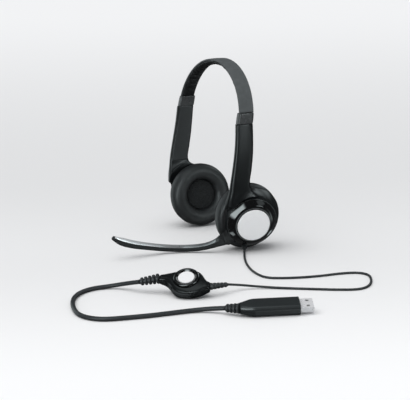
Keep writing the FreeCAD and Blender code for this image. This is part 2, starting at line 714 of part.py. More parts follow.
def remote_bezel():
    body = turned((7.3, 3.2), (10.9, 3.2), (10.9, 4.6), ((9.6, 5.9), (8.0, 5.3)), (7.3, 4.7))
    return body.translate(V(BUTTON_AT[0], BUTTON_AT[1], 0))


def mute_button():
    """Push disc with a stem down to the switch on the board."""
    body = turned((0, 3.6), (BUTTON_R + 0.9, 3.6), (BUTTON_R + 0.9, 3.0), (1.4, 3.0), (1.4, 2.4), (0, 2.4))
    cap = turned((0, 3.4), (BUTTON_R, 3.4), (BUTTON_R, 5.0), ((BUTTON_R - 0.3, 5.3), (BUTTON_R - 0.8, 5.4)), (0, 5.6))
    lip = disc(7.2, 2.4, 3.55)
    body = joined([body.common(lip), cap])
    return body.translate(V(BUTTON_AT[0], BUTTON_AT[1], 0))


def remote_board():
    """Circuit board under the wheel, with the control's shaft and body."""
    board = remote_outline(2.2, -3.4, -2.2).common(remote_belly(1.7))
    board = board.cut([disc(1.0, -9, 0, x=x, y=y) for x, y in REMOTE_SCREWS])
    post = disc(1.5, -2.3, 1.1, *WHEEL_AT)
    socket = disc(4.2, -2.3, -1.75, *WHEEL_AT)
    return joined([board, post, socket])


def remote_screws():
    out = []
    for x, y in REMOTE_SCREWS:
        one = screw(0.7, 1.25, 3.0, 0.6)
        one.rotate(V(0, 0, 0), V(1, 0, 0), 180)
        out.append(one.translate(V(x, y, -5.0)))
    return out


# ---- USB plug, drawn along +X from its nose, with Z out of its top face -------------------------
plug_roll = math.radians(PLUG_ROLL)
PLUG_SIDE = V(0.945 * math.sin(plug_roll), -0.328 * math.sin(plug_roll), math.cos(plug_roll))
PLUG = frame(PLUG_NOSE, PLUG_DIR, PLUG_SIDE)
PLUG_LONG = 47.0
PLUG_WIDE = 15.4
PLUG_TALL = 9.4
USB_WIDE = 12.0
USB_TALL = 4.5
USB_OUT = 11.0


def plug_section(x, wide, tall, radius):
    """Rounded outline square to the plug's length."""
    wire = rounded(wide, tall, radius)
    wire.rotate(V(0, 0, 0), V(1, 0, 0), 90)
    wire.rotate(V(0, 0, 0), V(0, 0, 1), 90)
    wire.translate(V(x, 0, 0))
    return wire


def plug_body():
    return Part.makeLoft([plug_section(0, 9.6, 7.2, 3.1), plug_section(4.2, 12.0, 8.2, 3.1),
                          plug_section(8.5, 14.6, 9.1, 3.1), plug_section(12.0, PLUG_WIDE, PLUG_TALL, 3.1)],
                         True).fuse(
        Part.makeLoft([plug_section(12.0, PLUG_WIDE, PLUG_TALL, 3.1),
                       plug_section(PLUG_LONG, PLUG_WIDE, PLUG_TALL, 3.1)], True))


def plug_shell(upper):
    body = plug_body()
    half = block(-5, 80, -20, 20, 0.02, 20) if upper else block(-5, 80, -20, 20, -20, -0.02)
    room = block(7, PLUG_LONG - 4, -4.6, 4.6, -2.2, 2.2)
    mouth = block(PLUG_LONG - 6, PLUG_LONG + 5, -USB_WIDE / 2 - 0.02, USB_WIDE / 2 + 0.02, -USB_TALL / 2 - 0.02,
                  USB_TALL / 2 + 0.02)
    return body.common(half).cut([room, mouth])


def usb_shell():
    """Folded metal shell with two square windows on each broad face, crimped narrower inside the plug."""
    start = PLUG_LONG - 5.5
    neck = PLUG_LONG + 0.1
    end = PLUG_LONG + USB_OUT
    wide, tall = USB_WIDE / 2, USB_TALL / 2
    body = block(neck, end, -wide, wide, -tall, tall)
    body = body.fuse(block(start, neck, 0.06 - wide, wide - 0.06, 0.06 - tall, tall - 0.06))
    body = body.cut(block(start - 1, end + 1, -USB_WIDE / 2 + 0.3, USB_WIDE / 2 - 0.3, -USB_TALL / 2 + 0.3,
                          USB_TALL / 2 - 0.3))
    windows = []
    for y in (-3.3, 3.3):
        x = PLUG_LONG + 5.2
        windows.append(block(x, x + 2.5, y - 1.0, y + 1.0, -5, 5))
    return body.cut(joined(windows))


def usb_tongue():
    """Plastic tongue with four flat contacts let into it."""
    start = PLUG_LONG - 5.5
    end = PLUG_LONG + USB_OUT - 0.6
    body = block(start, end, -USB_WIDE / 2 + 0.35, USB_WIDE / 2 - 0.35, -USB_TALL / 2 + 0.35, -0.1)
    grooves = []
    for i in range(4):
        y = -3.5 + 7.0 * i / 3
        grooves.append(block(PLUG_LONG + 1, end - 1, y - 0.5, y + 0.5, -0.4, 1))
    return body.cut(joined(grooves))


# ---- everything --------------------------------------------------------------------------------
def ear_pieces(left):
    cup = {"cushion": cushion(), "scrim": scrim(), "speaker_frame": speaker_frame(),
           "speaker_cone": speaker_cone(), "speaker_magnet": speaker_magnet(), "baffle": baffle(),
           "cup_shell": cup_shell(), "cup_screws": Part.makeCompound(cup_screws()), "pivot_cross": pivot_cross()}
    out = {name: place(shape, CUP) for name, shape in cup.items()}
    out["bezel_ring"] = place(bezel_ring(HUB_LOW if left else BEZEL_LOW), DOME)
    out["badge"] = place(badge(), DOME)
    out["arm_shell"] = arm_shell(left)
    out["arm_cover"] = arm_cover()
    out["cover_screws"] = Part.makeCompound(cover_screws())
    out["detent_spring"] = detent_spring()
    out["slider_strip"] = slider_strip()
    out["band_collar"] = band_collar()
    return out


def build():
    pieces = {}
    for side in ("left", "right"):
        for name, shape in ear_pieces(side == "left").items():
            pieces[side + "_" + name] = shape if side == "left" else mirrored(shape)
    for name, shape in (("boom_hub", boom_hub()), ("boom_arm", boom_arm()), ("boom_inlay", boom_inlay()),
                        ("mic_capsule", mic_capsule()), ("mic_grille", mic_grille())):
        pieces[name] = place(shape, DOME)
    pieces["left_cable_boot"] = cable_boot()
    pieces["band_strap"] = band_strap()
    pieces["band_pad"] = band_pad()
    pieces["band_spring"] = band_spring()
    for shape in pieces.values():
        shape.translate(ROW_SHIFT)

    for name, shape in (("remote_top", remote_top()), ("remote_bottom", remote_bottom()),
                        ("remote_bezel", remote_bezel()), ("mute_button", mute_button()),
                        ("volume_wheel", volume_wheel()), ("remote_board", remote_board()),
                        ("remote_screws", Part.makeCompound(remote_screws()))):
        pieces[name] = place(shape, REMOTE)
    for name, shape in (("plug_top", plug_shell(True)), ("plug_bottom", plug_shell(False)),
                        ("usb_shell", usb_shell()), ("usb_tongue", usb_tongue())):
        pieces[name] = place(shape, PLUG)

    lead_neck = REMOTE.multVec(V(20.5, -2.5, 0.4))
    cable_neck = REMOTE.multVec(V(-24.0, 4.4, 0.4))
    remote = [pieces["remote_top"], pieces["remote_bottom"]]
    plug = [pieces["plug_top"], pieces["plug_bottom"]]
    pieces["lead_relief"] = relief(lead_neck, LEAD_ROUTE[-1], 2.9, 2.1, 7, remote)
    pieces["cable_relief"] = relief(cable_neck, CABLE_ROUTE[0], 4.3, 3.4, 5, remote)
    pieces["plug_relief"] = relief(PLUG_NOSE, CABLE_ROUTE[-1], 4.2, 3.4, 5, plug)
    pieces["headset_lead"] = cord(LEAD_ROUTE, LEAD_D, "headset_lead")
    pieces["usb_cable"] = cord(CABLE_ROUTE, CABLE_D, "usb_cable")
    return pieces


os.makedirs("parts", exist_ok=True)
for node, shape in build().items():
    if not shape.isValid() or shape.Volume <= 0:
        print("CHECK", node, shape.isValid(), shape.Volume)
    shape.exportStep("parts/" + node + ".step")
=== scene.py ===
"""The looks of the office headset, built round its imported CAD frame.

Shapes are worked out in millimetres in the headset's own frame, whose origin lies on the surface under the
middle of the ear cups, and go into the row frame, in metres, through world().
"""
import json
import math

import bmesh
import bpy
import numpy as np
from mathutils import Matrix, Vector, noise

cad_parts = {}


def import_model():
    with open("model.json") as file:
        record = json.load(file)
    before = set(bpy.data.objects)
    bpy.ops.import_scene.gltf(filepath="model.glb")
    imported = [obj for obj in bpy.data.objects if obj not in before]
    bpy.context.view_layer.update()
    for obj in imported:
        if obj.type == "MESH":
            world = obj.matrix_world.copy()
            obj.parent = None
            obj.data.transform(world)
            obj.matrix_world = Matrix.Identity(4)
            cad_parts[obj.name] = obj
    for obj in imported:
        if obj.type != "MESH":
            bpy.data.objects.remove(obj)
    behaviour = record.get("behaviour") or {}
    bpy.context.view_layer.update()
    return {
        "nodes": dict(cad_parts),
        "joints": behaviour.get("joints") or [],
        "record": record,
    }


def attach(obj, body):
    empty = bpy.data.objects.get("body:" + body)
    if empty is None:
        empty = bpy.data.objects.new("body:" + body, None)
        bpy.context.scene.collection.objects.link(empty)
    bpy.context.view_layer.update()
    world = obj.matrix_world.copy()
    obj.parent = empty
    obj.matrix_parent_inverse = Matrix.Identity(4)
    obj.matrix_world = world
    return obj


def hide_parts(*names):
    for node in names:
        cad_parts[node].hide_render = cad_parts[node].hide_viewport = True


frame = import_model()
joints = {joint["name"]: joint for joint in frame["joints"]}
nodes = frame["nodes"]
MM = 0.001
SIDE = {1: "left", -1: "right"}


# ---- the frames of the headset ----
def unit(v):
    v = np.asarray(v, float)
    return v / np.linalg.norm(v)


SHIFT = np.array([0, 48.2, -0.6])  # from the headset's own frame to the row frame
CUP_CENTRE = np.array([42.6, 0.0, 33.0])
CUP_UP = np.array(joints["left_swivel"]["axis"])
CUP_AXIS = unit([CUP_UP[2], 0, -CUP_UP[0]])
BADGE_AT = np.array(joints["boom_turn"]["pos_m"]) / MM - SHIFT
DOME_AXIS = np.array(joints["boom_turn"]["axis"])
DOME_REAR = unit([-DOME_AXIS[1], DOME_AXIS[0], 0])
DOME_UP = np.cross(DOME_AXIS, DOME_REAR)
DOME_R = 31.0
BADGE_R = 15.5
BALL_DEPTH = math.sqrt(DOME_R ** 2 - BADGE_R ** 2)
BALL_AT = BADGE_AT - DOME_AXIS * BALL_DEPTH
RIM_T = 19.8  # where the housing's rim stands, from the cushion's face
RING_R = 23.7
RING_LOW = -6.5
HUB_LOW = -9.0
GAP = 0.2
CUSHION_R = 31.0
EAR_R = 16.4
ROLL_R = 15.0  # the cushion rolls in over the foam to here


def cup_point(x, y, t):
    """Row-ready point of a cup: x to the rear, y up, t outward from the cushion's face."""
    return (CUP_CENTRE + np.multiply.outer(x, [0, 1, 0]) + np.multiply.outer(y, CUP_UP)
            + np.multiply.outer(t, CUP_AXIS))


def dome_point(x, y, level):
    return (BADGE_AT + np.multiply.outer(x, DOME_REAR) + np.multiply.outer(y, DOME_UP)
            + np.multiply.outer(level, DOME_AXIS))


def world(points, side=1):
    """From the headset's frame, in millimetres, to the row frame, in metres; side -1 is the right ear."""
    out = np.array(points, float)
    out[..., 0] *= side
    return (out + SHIFT) * MM


def turn_of(steps):
    """Angles round a full turn."""
    return np.linspace(0, 2 * math.pi, steps, endpoint=False)


# ---- mesh tools ----
def in_scene(obj):
    bpy.context.scene.collection.objects.link(obj)


def new_mesh(name, verts, faces, material):
    mesh = bpy.data.meshes.new(name)
    mesh.from_pydata([tuple(v) for v in verts], [], [tuple(int(i) for i in f) for f in faces])
    mesh.validate()
    obj = bpy.data.objects.new(name, mesh)
    in_scene(obj)
    b = bmesh.new()
    b.from_mesh(mesh)
    bmesh.ops.recalc_face_normals(b, faces=b.faces)
    b.to_mesh(mesh)
    b.free()
    for polygon in mesh.polygons:
        polygon.use_smooth = True
    mesh.materials.append(material)
    return obj


def grid_faces(rows, cols, closed_rows=False, closed_cols=True):
    faces = []
    for i in range(rows if closed_rows else rows - 1):
        for j in range(cols if closed_cols else cols - 1):
            a = i * cols + j
            b = i * cols + (j + 1) % cols
            c = ((i + 1) % rows) * cols + (j + 1) % cols
            d = ((i + 1) % rows) * cols + j
            faces.append((a, b, c, d))
    return faces


def loft(name, rows, material):
    """A closed skin through rings of points, with flat ends."""
    rows = np.array(rows, float)
    n, m = rows.shape[:2]
    faces = grid_faces(n, m) + [tuple(range(m)), tuple(range((n - 1) * m, n * m))]
    return new_mesh(name, rows.reshape(-1, 3), faces, material)


def catmull(stations, per_span):
    """Smooth rows through the stations' rows of numbers."""
    s = np.array(stations, float)
    p = np.vstack([2 * s[:1] - s[1:2], s, 2 * s[-1:] - s[-2:-1]])
    out = []
    for i in range(1, len(p) - 2):
        for k in range(per_span):
            u = k / per_span
            out.append(0.5 * (2 * p[i] + (p[i + 1] - p[i - 1]) * u
                              + (2 * p[i - 1] - 5 * p[i] + 4 * p[i + 1] - p[i + 2]) * u ** 2
                              + (3 * p[i] - p[i - 1] - 3 * p[i + 1] + p[i + 2]) * u ** 3))
    out.append(p[-2])
    return np.array(out)


def round_corners(points, radii, per_corner=4):
    """A closed outline in 2-D with its corners rounded."""
    points = [np.array(p, float) for p in points]
    out = []
    for i, corner in enumerate(points):
        back = points[i - 1] - corner
        on = points[(i + 1) % len(points)] - corner
        reach = min(radii[i], 0.45 * np.linalg.norm(back), 0.45 * np.linalg.norm(on))
        a, b = corner + unit(back) * reach, corner + unit(on) * reach
        for k in range(per_corner + 1):
            u = k / per_corner
            out.append((1 - u) ** 2 * a + 2 * u * (1 - u) * corner + u ** 2 * b)
    return np.array(out)


def revolve(name, profile, place_point, material, side, steps, closed=True):
    """A skin of revolution from (radius, height) points; place_point maps (x, y, height) into the headset."""
    profile = np.array(profile, float)
    angle = turn_of(steps)
    rows = []
    for radius, height in profile:
        ring = place_point(radius * np.cos(angle), radius * np.sin(angle), np.full(steps, height))
        rows.append(world(ring, side))
    faces = grid_faces(len(rows), steps, closed_rows=closed)
    return new_mesh(name, np.array(rows).reshape(-1, 3), faces, material)


def skin(name, field, low, high, step, material, side=1, to_world=None):
    """A smooth closed mesh of the surface where field is zero, by surface nets; field is negative inside."""
    axes = [np.arange(low[i] - step, high[i] + 2 * step, step) for i in range(3)]
    grid = np.stack(np.meshgrid(*axes, indexing="ij"), -1)
    value = field(grid)
    cells = tuple(n - 1 for n in value.shape)
    total = np.zeros(cells + (3,))
    count = np.zeros(cells)
    crossings = []
    for axis in range(3):
        lo = tuple(slice(0, -1) if k == axis else slice(None) for k in range(3))
        hi = tuple(slice(1, None) if k == axis else slice(None) for k in range(3))
        a, b = value[lo], value[hi]
        where = np.argwhere((a < 0) != (b < 0))
        va, vb = a[tuple(where.T)], b[tuple(where.T)]
        point = where.astype(float)
        point[:, axis] += va / (va - vb)
        u, v = [k for k in range(3) if k != axis]
        for du in (0, -1):
            for dv in (0, -1):
                cell = where.copy()
                cell[:, u] += du
                cell[:, v] += dv
                fine = np.all((cell >= 0) & (cell < np.array(cells)), axis=1)
                np.add.at(total, tuple(cell[fine].T), point[fine])
                np.add.at(count, tuple(cell[fine].T), 1)
        crossings.append((axis, u, v, where, va < 0))
    used = np.argwhere(count > 0)
    number = -np.ones(cells, int)
    number[tuple(used.T)] = np.arange(len(used))
    verts = total[tuple(used.T)] / count[tuple(used.T)][:, None]
    verts = np.array([a[0] for a in axes]) + verts * step
    faces = []
    for axis, u, v, where, leaving in crossings:
        quad = []
        for du, dv in ((0, 0), (-1, 0), (-1, -1), (0, -1)):
            cell = where.copy()
            cell[:, u] += du
            cell[:, v] += dv
            cell = np.clip(cell, 0, np.array(cells) - 1)
            quad.append(number[tuple(cell.T)])
        quad = np.stack(quad, 1)
        flip = leaving if axis != 1 else ~leaving
        quad[flip] = quad[flip][:, ::-1]
        faces.append(quad[np.all(quad >= 0, axis=1)])
    faces = np.vstack(faces)
    h = 0.05
    for _ in range(4):
        here = field(verts)
        slope = np.stack([(field(verts + np.eye(3)[k] * h) - field(verts - np.eye(3)[k] * h)) / (2 * h)
                          for k in range(3)], -1)
        size = np.maximum((slope ** 2).sum(-1), 0.2)
        push = -(here / size)[:, None] * slope
        long = np.maximum(np.linalg.norm(push, axis=1, keepdims=True), 1e-9)
        verts = verts + push * np.minimum(1, 0.5 * step / long)
    placed = world(verts, side) if to_world is None else to_world(verts)
    return new_mesh(name, placed, faces, material)


def inflate(name, verts, faces, pinned, pressure, growth, cap):
    """Cloth simulation of a stuffed skin, worked at twenty times life size so that the solver behaves."""
    size, frames = 0.02, 16
    scene = bpy.context.scene
    mesh = bpy.data.meshes.new(name + "_sim")
    mesh.from_pydata([tuple(v * size) for v in verts], [], [tuple(int(i) for i in f) for f in faces])
    obj = bpy.data.objects.new(name + "_sim", mesh)
    in_scene(obj)
    group = obj.vertex_groups.new(name="seam")
    group.add([int(i) for i in np.flatnonzero(pinned)], 1.0, "REPLACE")
    mod = obj.modifiers.new("filling", "CLOTH")
    cloth = mod.settings
    cloth.quality = 4
    cloth.mass = 0.4
    cloth.tension_stiffness = 12
    cloth.compression_stiffness = 12
    cloth.shear_stiffness = 6
    cloth.bending_stiffness = 0.25
    cloth.use_pressure = True
    cloth.uniform_pressure_force = pressure
    cloth.shrink_min = -growth
    cloth.shrink_max = -growth
    cloth.vertex_group_mass = "seam"
    cloth.effector_weights.gravity = 0
    mod.collision_settings.use_collision = False
    mod.point_cache.frame_start = 1
    mod.point_cache.frame_end = frames
    for step in range(1, frames + 1):
        scene.frame_set(step)
    shaped = obj.evaluated_get(bpy.context.evaluated_depsgraph_get()).to_mesh()
    out = np.array([tuple(v.co) for v in shaped.vertices]) / size
    bpy.data.objects.remove(obj)
    scene.frame_set(1)
    move = out - verts
    length = np.maximum(np.linalg.norm(move, axis=1, keepdims=True), 1e-9)
    return verts + move * np.minimum(1.0, cap / length)


def smooth_min(a, b, k):
    h = np.clip(0.5 + 0.5 * (b - a) / k, 0, 1)
    return b + (a - b) * h - k * h * (1 - h)


def smooth_max(a, b, k):
    return -smooth_min(-a, -b, k)


def add_bevel(obj, width, segments, angle):
    mod = obj.modifiers.new("soft_edges", "BEVEL")
    mod.width = width * MM
    mod.segments = segments
    mod.limit_method = "ANGLE"
    mod.angle_limit = math.radians(angle)
    mod.harden_normals = False


def weighted(obj):
    mod = obj.modifiers.new("even_shading", "WEIGHTED_NORMAL")
    mod.keep_sharp = True
    mod.weight = 80


def finer(obj):
    mod = obj.modifiers.new("finer", "SUBSURF")
    mod.levels = 1
    mod.render_levels = 1


# ---- materials ----
def shader(name, color, roughness, metallic=0.0, coat=0.0, coat_roughness=0.1, sheen=0.0, specular=0.5):
    material = bpy.data.materials.new(name)
    material.use_nodes = True
    node = material.node_tree.nodes["Principled BSDF"]
    values = {"Base Color": (*color, 1), "Roughness": roughness, "Metallic": metallic, "Coat Weight": coat,
              "Coat Roughness": coat_roughness, "Sheen Weight": sheen, "Specular IOR Level": specular}
    for key, value in values.items():
        node.inputs[key].default_value = value
    return material


def add(tree, kind, **values):
    node = tree.nodes.new(kind)
    for key, value in values.items():
        if key in node.inputs:
            node.inputs[key].default_value = value
        else:
            setattr(node, key, value)
    return node


def wire(tree, source, out, target, into):
    tree.links.new(source.outputs[out], target.inputs[into])


def texture(material, kind="noise", size=1.0, detail=4.0, stretch=(1, 1, 1)):
    """A 3-D texture whose features are about size millimetres across."""
    tree = material.node_tree
    coords = add(tree, "ShaderNodeTexCoord")
    mapping = add(tree, "ShaderNodeMapping", Scale=[1000.0 / size * s for s in stretch])
    wire(tree, coords, "Object", mapping, "Vector")
    if kind == "noise":
        node, out = add(tree, "ShaderNodeTexNoise", Detail=detail, Scale=1.0, Roughness=0.6), "Fac"
    else:
        node, out = add(tree, "ShaderNodeTexVoronoi", feature="DISTANCE_TO_EDGE", Scale=1.0), "Distance"
    wire(tree, mapping, "Vector", node, "Vector")
    return node.outputs[out]


def bump(material, height, strength, distance, after=None):
    tree = material.node_tree
    node = add(tree, "ShaderNodeBump", Strength=strength, Distance=distance * MM)
    tree.links.new(height, node.inputs["Height"])
    if after is not None:
        tree.links.new(after, node.inputs["Normal"])
    tree.links.new(node.outputs["Normal"], tree.nodes["Principled BSDF"].inputs["Normal"])
    return node.outputs["Normal"]


def vary(material, source, socket, low, high, start=0.3, end=0.7):
    """Ties a socket to a texture, between two values or two colours."""
    tree = material.node_tree
    target = tree.nodes["Principled BSDF"].inputs[socket]
    if isinstance(low, tuple):
        ramp = add(tree, "ShaderNodeValToRGB")
        for element, position, color in zip(ramp.color_ramp.elements, (start, end), (low, high)):
            element.position = position
            element.color = (*color, 1)
        tree.links.new(source, ramp.inputs["Fac"])
        tree.links.new(ramp.outputs["Color"], target)
    else:
        ends = {"From Min": start, "From Max": end, "To Min": low, "To Max": high}
        span = add(tree, "ShaderNodeMapRange", **ends)
        tree.links.new(source, span.inputs["Value"])
        tree.links.new(span.outputs["Result"], target)


def moulded(name, color, roughness, grain=0.35, depth=0.004, specular=0.4):
    """Satin moulded plastic: fine spark-eroded grain and slightly uneven gloss."""
    material = shader(name, color, roughness, specular=specular)
    lighter = tuple(c * 1.12 for c in color)
    vary(material, texture(material, size=9.0, detail=3), "Base Color", color, lighter)
    vary(material, texture(material, size=4.0, detail=5), "Roughness", roughness - 0.02, roughness + 0.03)
    bump(material, texture(material, size=grain, detail=2), 0.35, depth)
    return material


def leather(name, color, roughness, pebble, depth, fold=0.0, sheen=0.0, specular=0.35):
    """Leatherette: pebbled cells over finer creases, slightly worn and uneven."""
    material = shader(name, color, roughness, sheen=sheen, specular=specular)
    lighter = tuple(c * 1.25 for c in color)
    vary(material, texture(material, size=6.0, detail=5), "Base Color", color, lighter, 0.35, 0.75)
    vary(material, texture(material, size=2.5, detail=4), "Roughness", roughness - 0.05, roughness + 0.08)
    first = bump(material, texture(material, "cells", pebble), 0.5, depth)
    second = bump(material, texture(material, size=pebble * 0.5, detail=3), 0.3, depth * 0.6, first)
    if fold:
        bump(material, texture(material, size=7.0, detail=3), 0.6, fold, second)
    return material


HOUSING = moulded("housing_plastic", (0.0045, 0.0058, 0.0063), 0.30, depth=0.0012)
# painted light: the cover is of the housing's plastic, its colour painted lighter to stand for the light on
# the far arm's inner face
COVER_LIT = moulded("cover_plastic_lit", (0.030, 0.034, 0.035), 0.36, depth=0.0015, specular=0.5)
COLLAR = moulded("collar_plastic", (0.046, 0.049, 0.050), 0.26)
BOOM = moulded("boom_plastic", (0.020, 0.022, 0.023), 0.36)
REMOTE = moulded("remote_plastic", (0.005, 0.006, 0.0065), 0.28)
# painted shade: the lower shell is of the remote's plastic, its colour painted a little darker for shade, and
# given less gloss
REMOTE_SHADED = moulded("remote_base_shaded_plastic", (0.004, 0.0052, 0.0056), 0.36, specular=0.25)
PLUG = moulded("plug_plastic", (0.016, 0.0195, 0.0205), 0.30, specular=0.8)
INNER = moulded("inner_plastic", (0.03, 0.03, 0.032), 0.5)
RUBBER = moulded("cord_rubber", (0.028, 0.031, 0.033), 0.42, grain=0.5, depth=0.015)
STRAP = leather("strap_leatherette", (0.070, 0.077, 0.079), 0.60, 0.8, 0.05, sheen=0.05)
PAD = leather("pad_leatherette", (0.007, 0.008, 0.0085), 0.36, 0.8, 0.04, specular=0.5)
CUSHION = leather("cushion_leatherette", (0.013, 0.015, 0.0158), 0.46, 0.5, 0.012, fold=0.04, specular=0.65)


def gloss_material():
    """Polished black plastic with the faint swirl of wiping."""
    material = shader("gloss_ring", (0.0018, 0.002, 0.0022), 0.06, coat=1.0, coat_roughness=0.03)
    vary(material, texture(material, size=3.0, detail=6), "Roughness", 0.045, 0.09)
    return material


def badge_material(name, dark, light):
    """Silver lacquer: very fine metallic fleck under a satin coat."""
    material = shader(name, light, 0.36, coat=0.3, coat_roughness=0.2)
    vary(material, texture(material, size=0.25, detail=2), "Base Color", dark, light)
    return material


def inlay_material():
    """Brushed silver lacquer whose colour is painted light at the tip of the boom and dark at its root: a
    painted reflection.
    """
    material = shader("inlay_satin", (0.4, 0.41, 0.42), 0.28, metallic=0.45)
    tree = material.node_tree
    coords = add(tree, "ShaderNodeTexCoord")
    split = add(tree, "ShaderNodeSeparateXYZ")
    wire(tree, coords, "Generated", split, "Vector")
    # painted reflection: base colour light at the tip of the boom, dark at its root
    vary(material, split.outputs["Y"], "Base Color", (0.74, 0.75, 0.76), (0.11, 0.116, 0.12), 0.0, 0.85)
    vary(material, texture(material, size=5.0, detail=3, stretch=(0.2, 1, 1)), "Roughness", 0.27, 0.31)
    return material


def metal_material(name, color, roughness, metallic=1.0):
    material = shader(name, color, roughness, metallic=metallic)
    brushed = texture(material, size=0.6, detail=4, stretch=(0.1, 1, 1))
    vary(material, brushed, "Roughness", roughness * 0.8, roughness * 1.3)
    return material


def foam_material():
    """Open-cell foam: the pits painted dark as shade between lighter struts."""
    material = shader("foam_scrim", (0.010, 0.011, 0.0115), 0.9, specular=0.2)
    cells = texture(material, "cells", 1.1)
    # painted shade: the middles of the cells are painted dark, their edges lighter
    vary(material, cells, "Base Color", (0.030, 0.033, 0.034), (0.004, 0.0045, 0.0045), 0.02, 0.25)
    bump(material, cells, 1.0, 0.5)
    return material


GLOSS = gloss_material()
# painted light and shade: the ear badges and the mute button are one silver, the badges' copy painted lighter
# and the button's darker to suit the light each gets
BADGE = badge_material("badge_silver", (0.93, 0.934, 0.938), (0.98, 0.984, 0.986))
BUTTON = badge_material("button_silver", (0.80, 0.804, 0.808), (0.86, 0.864, 0.868))
INLAY = inlay_material()
STEEL = metal_material("screw_steel", (0.45, 0.45, 0.46), 0.3)
USB_METAL = metal_material("usb_metal", (0.90, 0.90, 0.91), 0.30, 0.4)
TONGUE = moulded("tongue_plastic", (0.75, 0.75, 0.73), 0.4)
FOAM = foam_material()

# looks of the slots of the CAD nodes that stay
SLOT_LOOKS = {"housing_plastic": HOUSING, "cup_plastic": INNER, "boom_plastic": BOOM, "plug_plastic": PLUG,
              "inner_plastic": INNER, "gloss_ring": GLOSS, "badge_silver": BUTTON, "magnet_steel": STEEL,
              "spring_steel": STEEL, "pivot_steel": STEEL, "screw_steel": STEEL, "usb_metal": USB_METAL,
              "cord_rubber": RUBBER, "cone_film": INNER, "tongue_plastic": TONGUE, "board_green": INNER,
              "remote_plastic": REMOTE}


def piece(obj, slot, body, *replaced):
    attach(obj, body)
    if replaced:
        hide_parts(*replaced)
    return obj


# ---- housings with their arms ----
# height, front edge, rear edge, inner face, outer face, rounding outside and inside
ARM_STATIONS = [
    (44.0, -27.6, 9.0, 60.0, 71.6, 7.0, 1.0), (52.0, -26.9, 4.0, 63.6, 72.8, 6.6, 1.2),
    (60.0, -25.3, -2.6, 65.6, 73.5, 4.8, 1.6), (68.0, -24.2, -5.0, 66.4, 73.5, 3.4, 2.0),
    (80.0, -22.0, -3.1, 66.2, 73.0, 2.6, 2.2), (94.0, -19.4, -1.2, 65.3, 72.0, 2.2, 2.2),
    (108.0, -17.4, -0.2, 64.0, 70.5, 2.0, 2.0), (121.1, -16.2, 0.3, 62.6, 68.9, 1.8, 1.4),
]
ARM_TOP = 121.1
EDGE_REAR, EDGE_OUT, EDGE_RUN = 3.3, 1.3, 3.55  # the flat that takes off the outer rear edge
WALL = 1.6
MELT = 8.0  # how broadly the arm flows into the ball
ARM_TABLE = catmull(ARM_STATIONS, 12)


def arm_sizes(z):
    return [np.interp(z, ARM_TABLE[:, 0], ARM_TABLE[:, k]) for k in range(1, 7)]


def box_field(u, v, half_u, half_v, radius):
    """Distance to a rounded rectangle centred on the origin."""
    qu, qv = np.abs(u) - half_u + radius, np.abs(v) - half_v + radius
    return np.hypot(np.maximum(qu, 0), np.maximum(qv, 0)) + np.minimum(np.maximum(qu, qv), 0) - radius


def arm_field(p):
    x, y, z = p[..., 0], p[..., 1], p[..., 2]
    front, rear, inner, outer, r_out, r_in = arm_sizes(z)
    cx, cy = (inner + outer) / 2, (front + rear) / 2
    half_x, half_y = (outer - inner) / 2, (rear - front) / 2
    radius = np.minimum(np.where(x > cx, r_out, r_in), half_x - 0.05)
    swell = 0.6 * np.clip(((y - cy) / half_y) ** 2, 0, 1)
    flat = box_field(np.abs(x - cx) + swell, y - cy, half_x, half_y, radius)
    slant = ((x - outer) * EDGE_REAR + (y - rear + EDGE_REAR) * EDGE_OUT) / EDGE_RUN
    slant = slant - np.clip(78 - z, 0, 30) * 0.12
    return smooth_max(smooth_max(flat, slant, 0.9), z - ARM_TOP, 0.6)


def cup_t(p):
    return (p - CUP_CENTRE) @ CUP_AXIS


def cup_radius(p):
    q = p - CUP_CENTRE
    return np.sqrt(np.maximum((q ** 2).sum(-1) - (q @ CUP_AXIS) ** 2, 0))


def dome_level(p):
    return (p - BADGE_AT) @ DOME_AXIS


def dome_radius(p):
    q = p - BADGE_AT
    level = q @ DOME_AXIS
    return np.sqrt(np.maximum((q ** 2).sum(-1) - level ** 2, 0))


def window_field(p, slack):
    """Where the arm's inner side is closed by the cover."""
    x, y, z = p[..., 0], p[..., 1], p[..., 2]
    front, rear, inner, _, _, _ = arm_sizes(z)
    flat = box_field(x - inner, y - (front + rear) / 2, 1.35 + slack, (rear - front) / 2 - 1.6 + slack, 0.3)
    return smooth_max(flat, 66.3 - slack - z, 0.3)


def cavity_field(p):
    """The arm's hollow for the slider strip, open at the top."""
    x, y, z = p[..., 0], p[..., 1], p[..., 2]
    front, rear, inner, outer, _, _ = arm_sizes(z)
    flat = box_field(x - (inner + outer) / 2, y - (front + rear) / 2, (outer - inner) / 2 - 1.4,
                     (rear - front) / 2 - 2.2, 0.8)
    return smooth_max(flat, 68.0 - z, 0.5)


def housing_field(top):
    """The arm flowing into the housing's ball, with the well for the ring and the hollow for the cup."""
    well_r = math.sqrt(DOME_R ** 2 - (top + BALL_DEPTH) ** 2) + 0.35 if top < RING_LOW else RING_R + 0.25

    def field(p):
        ball = np.linalg.norm(p - BALL_AT, axis=-1) - DOME_R
        level, radius = dome_level(p), dome_radius(p)
        arm = smooth_max(arm_field(p), 46.0 - p[..., 2], 0.6)
        deep = RIM_T - cup_t(p)
        body = smooth_min(arm, smooth_max(ball, deep, 0.8), MELT)
        floor_level = level - (top - GAP)
        well = smooth_max(-floor_level, radius - well_r, 0.4)
        body = smooth_max(body, -well, 0.5)
        under = smooth_max(-deep, cup_radius(p) - CUSHION_R - 2.4, 0.6)
        body = smooth_max(body, -under, 0.6)
        room = smooth_max(smooth_max(ball + WALL, level - (top - GAP - 1.0), 0.5), deep - 3.0, 0.3)
        body = smooth_max(body, -room, 0.5)
        body = smooth_max(body, -window_field(p, 0.0), 0.3)
        return smooth_max(body, -cavity_field(p), 0.5)
    return field


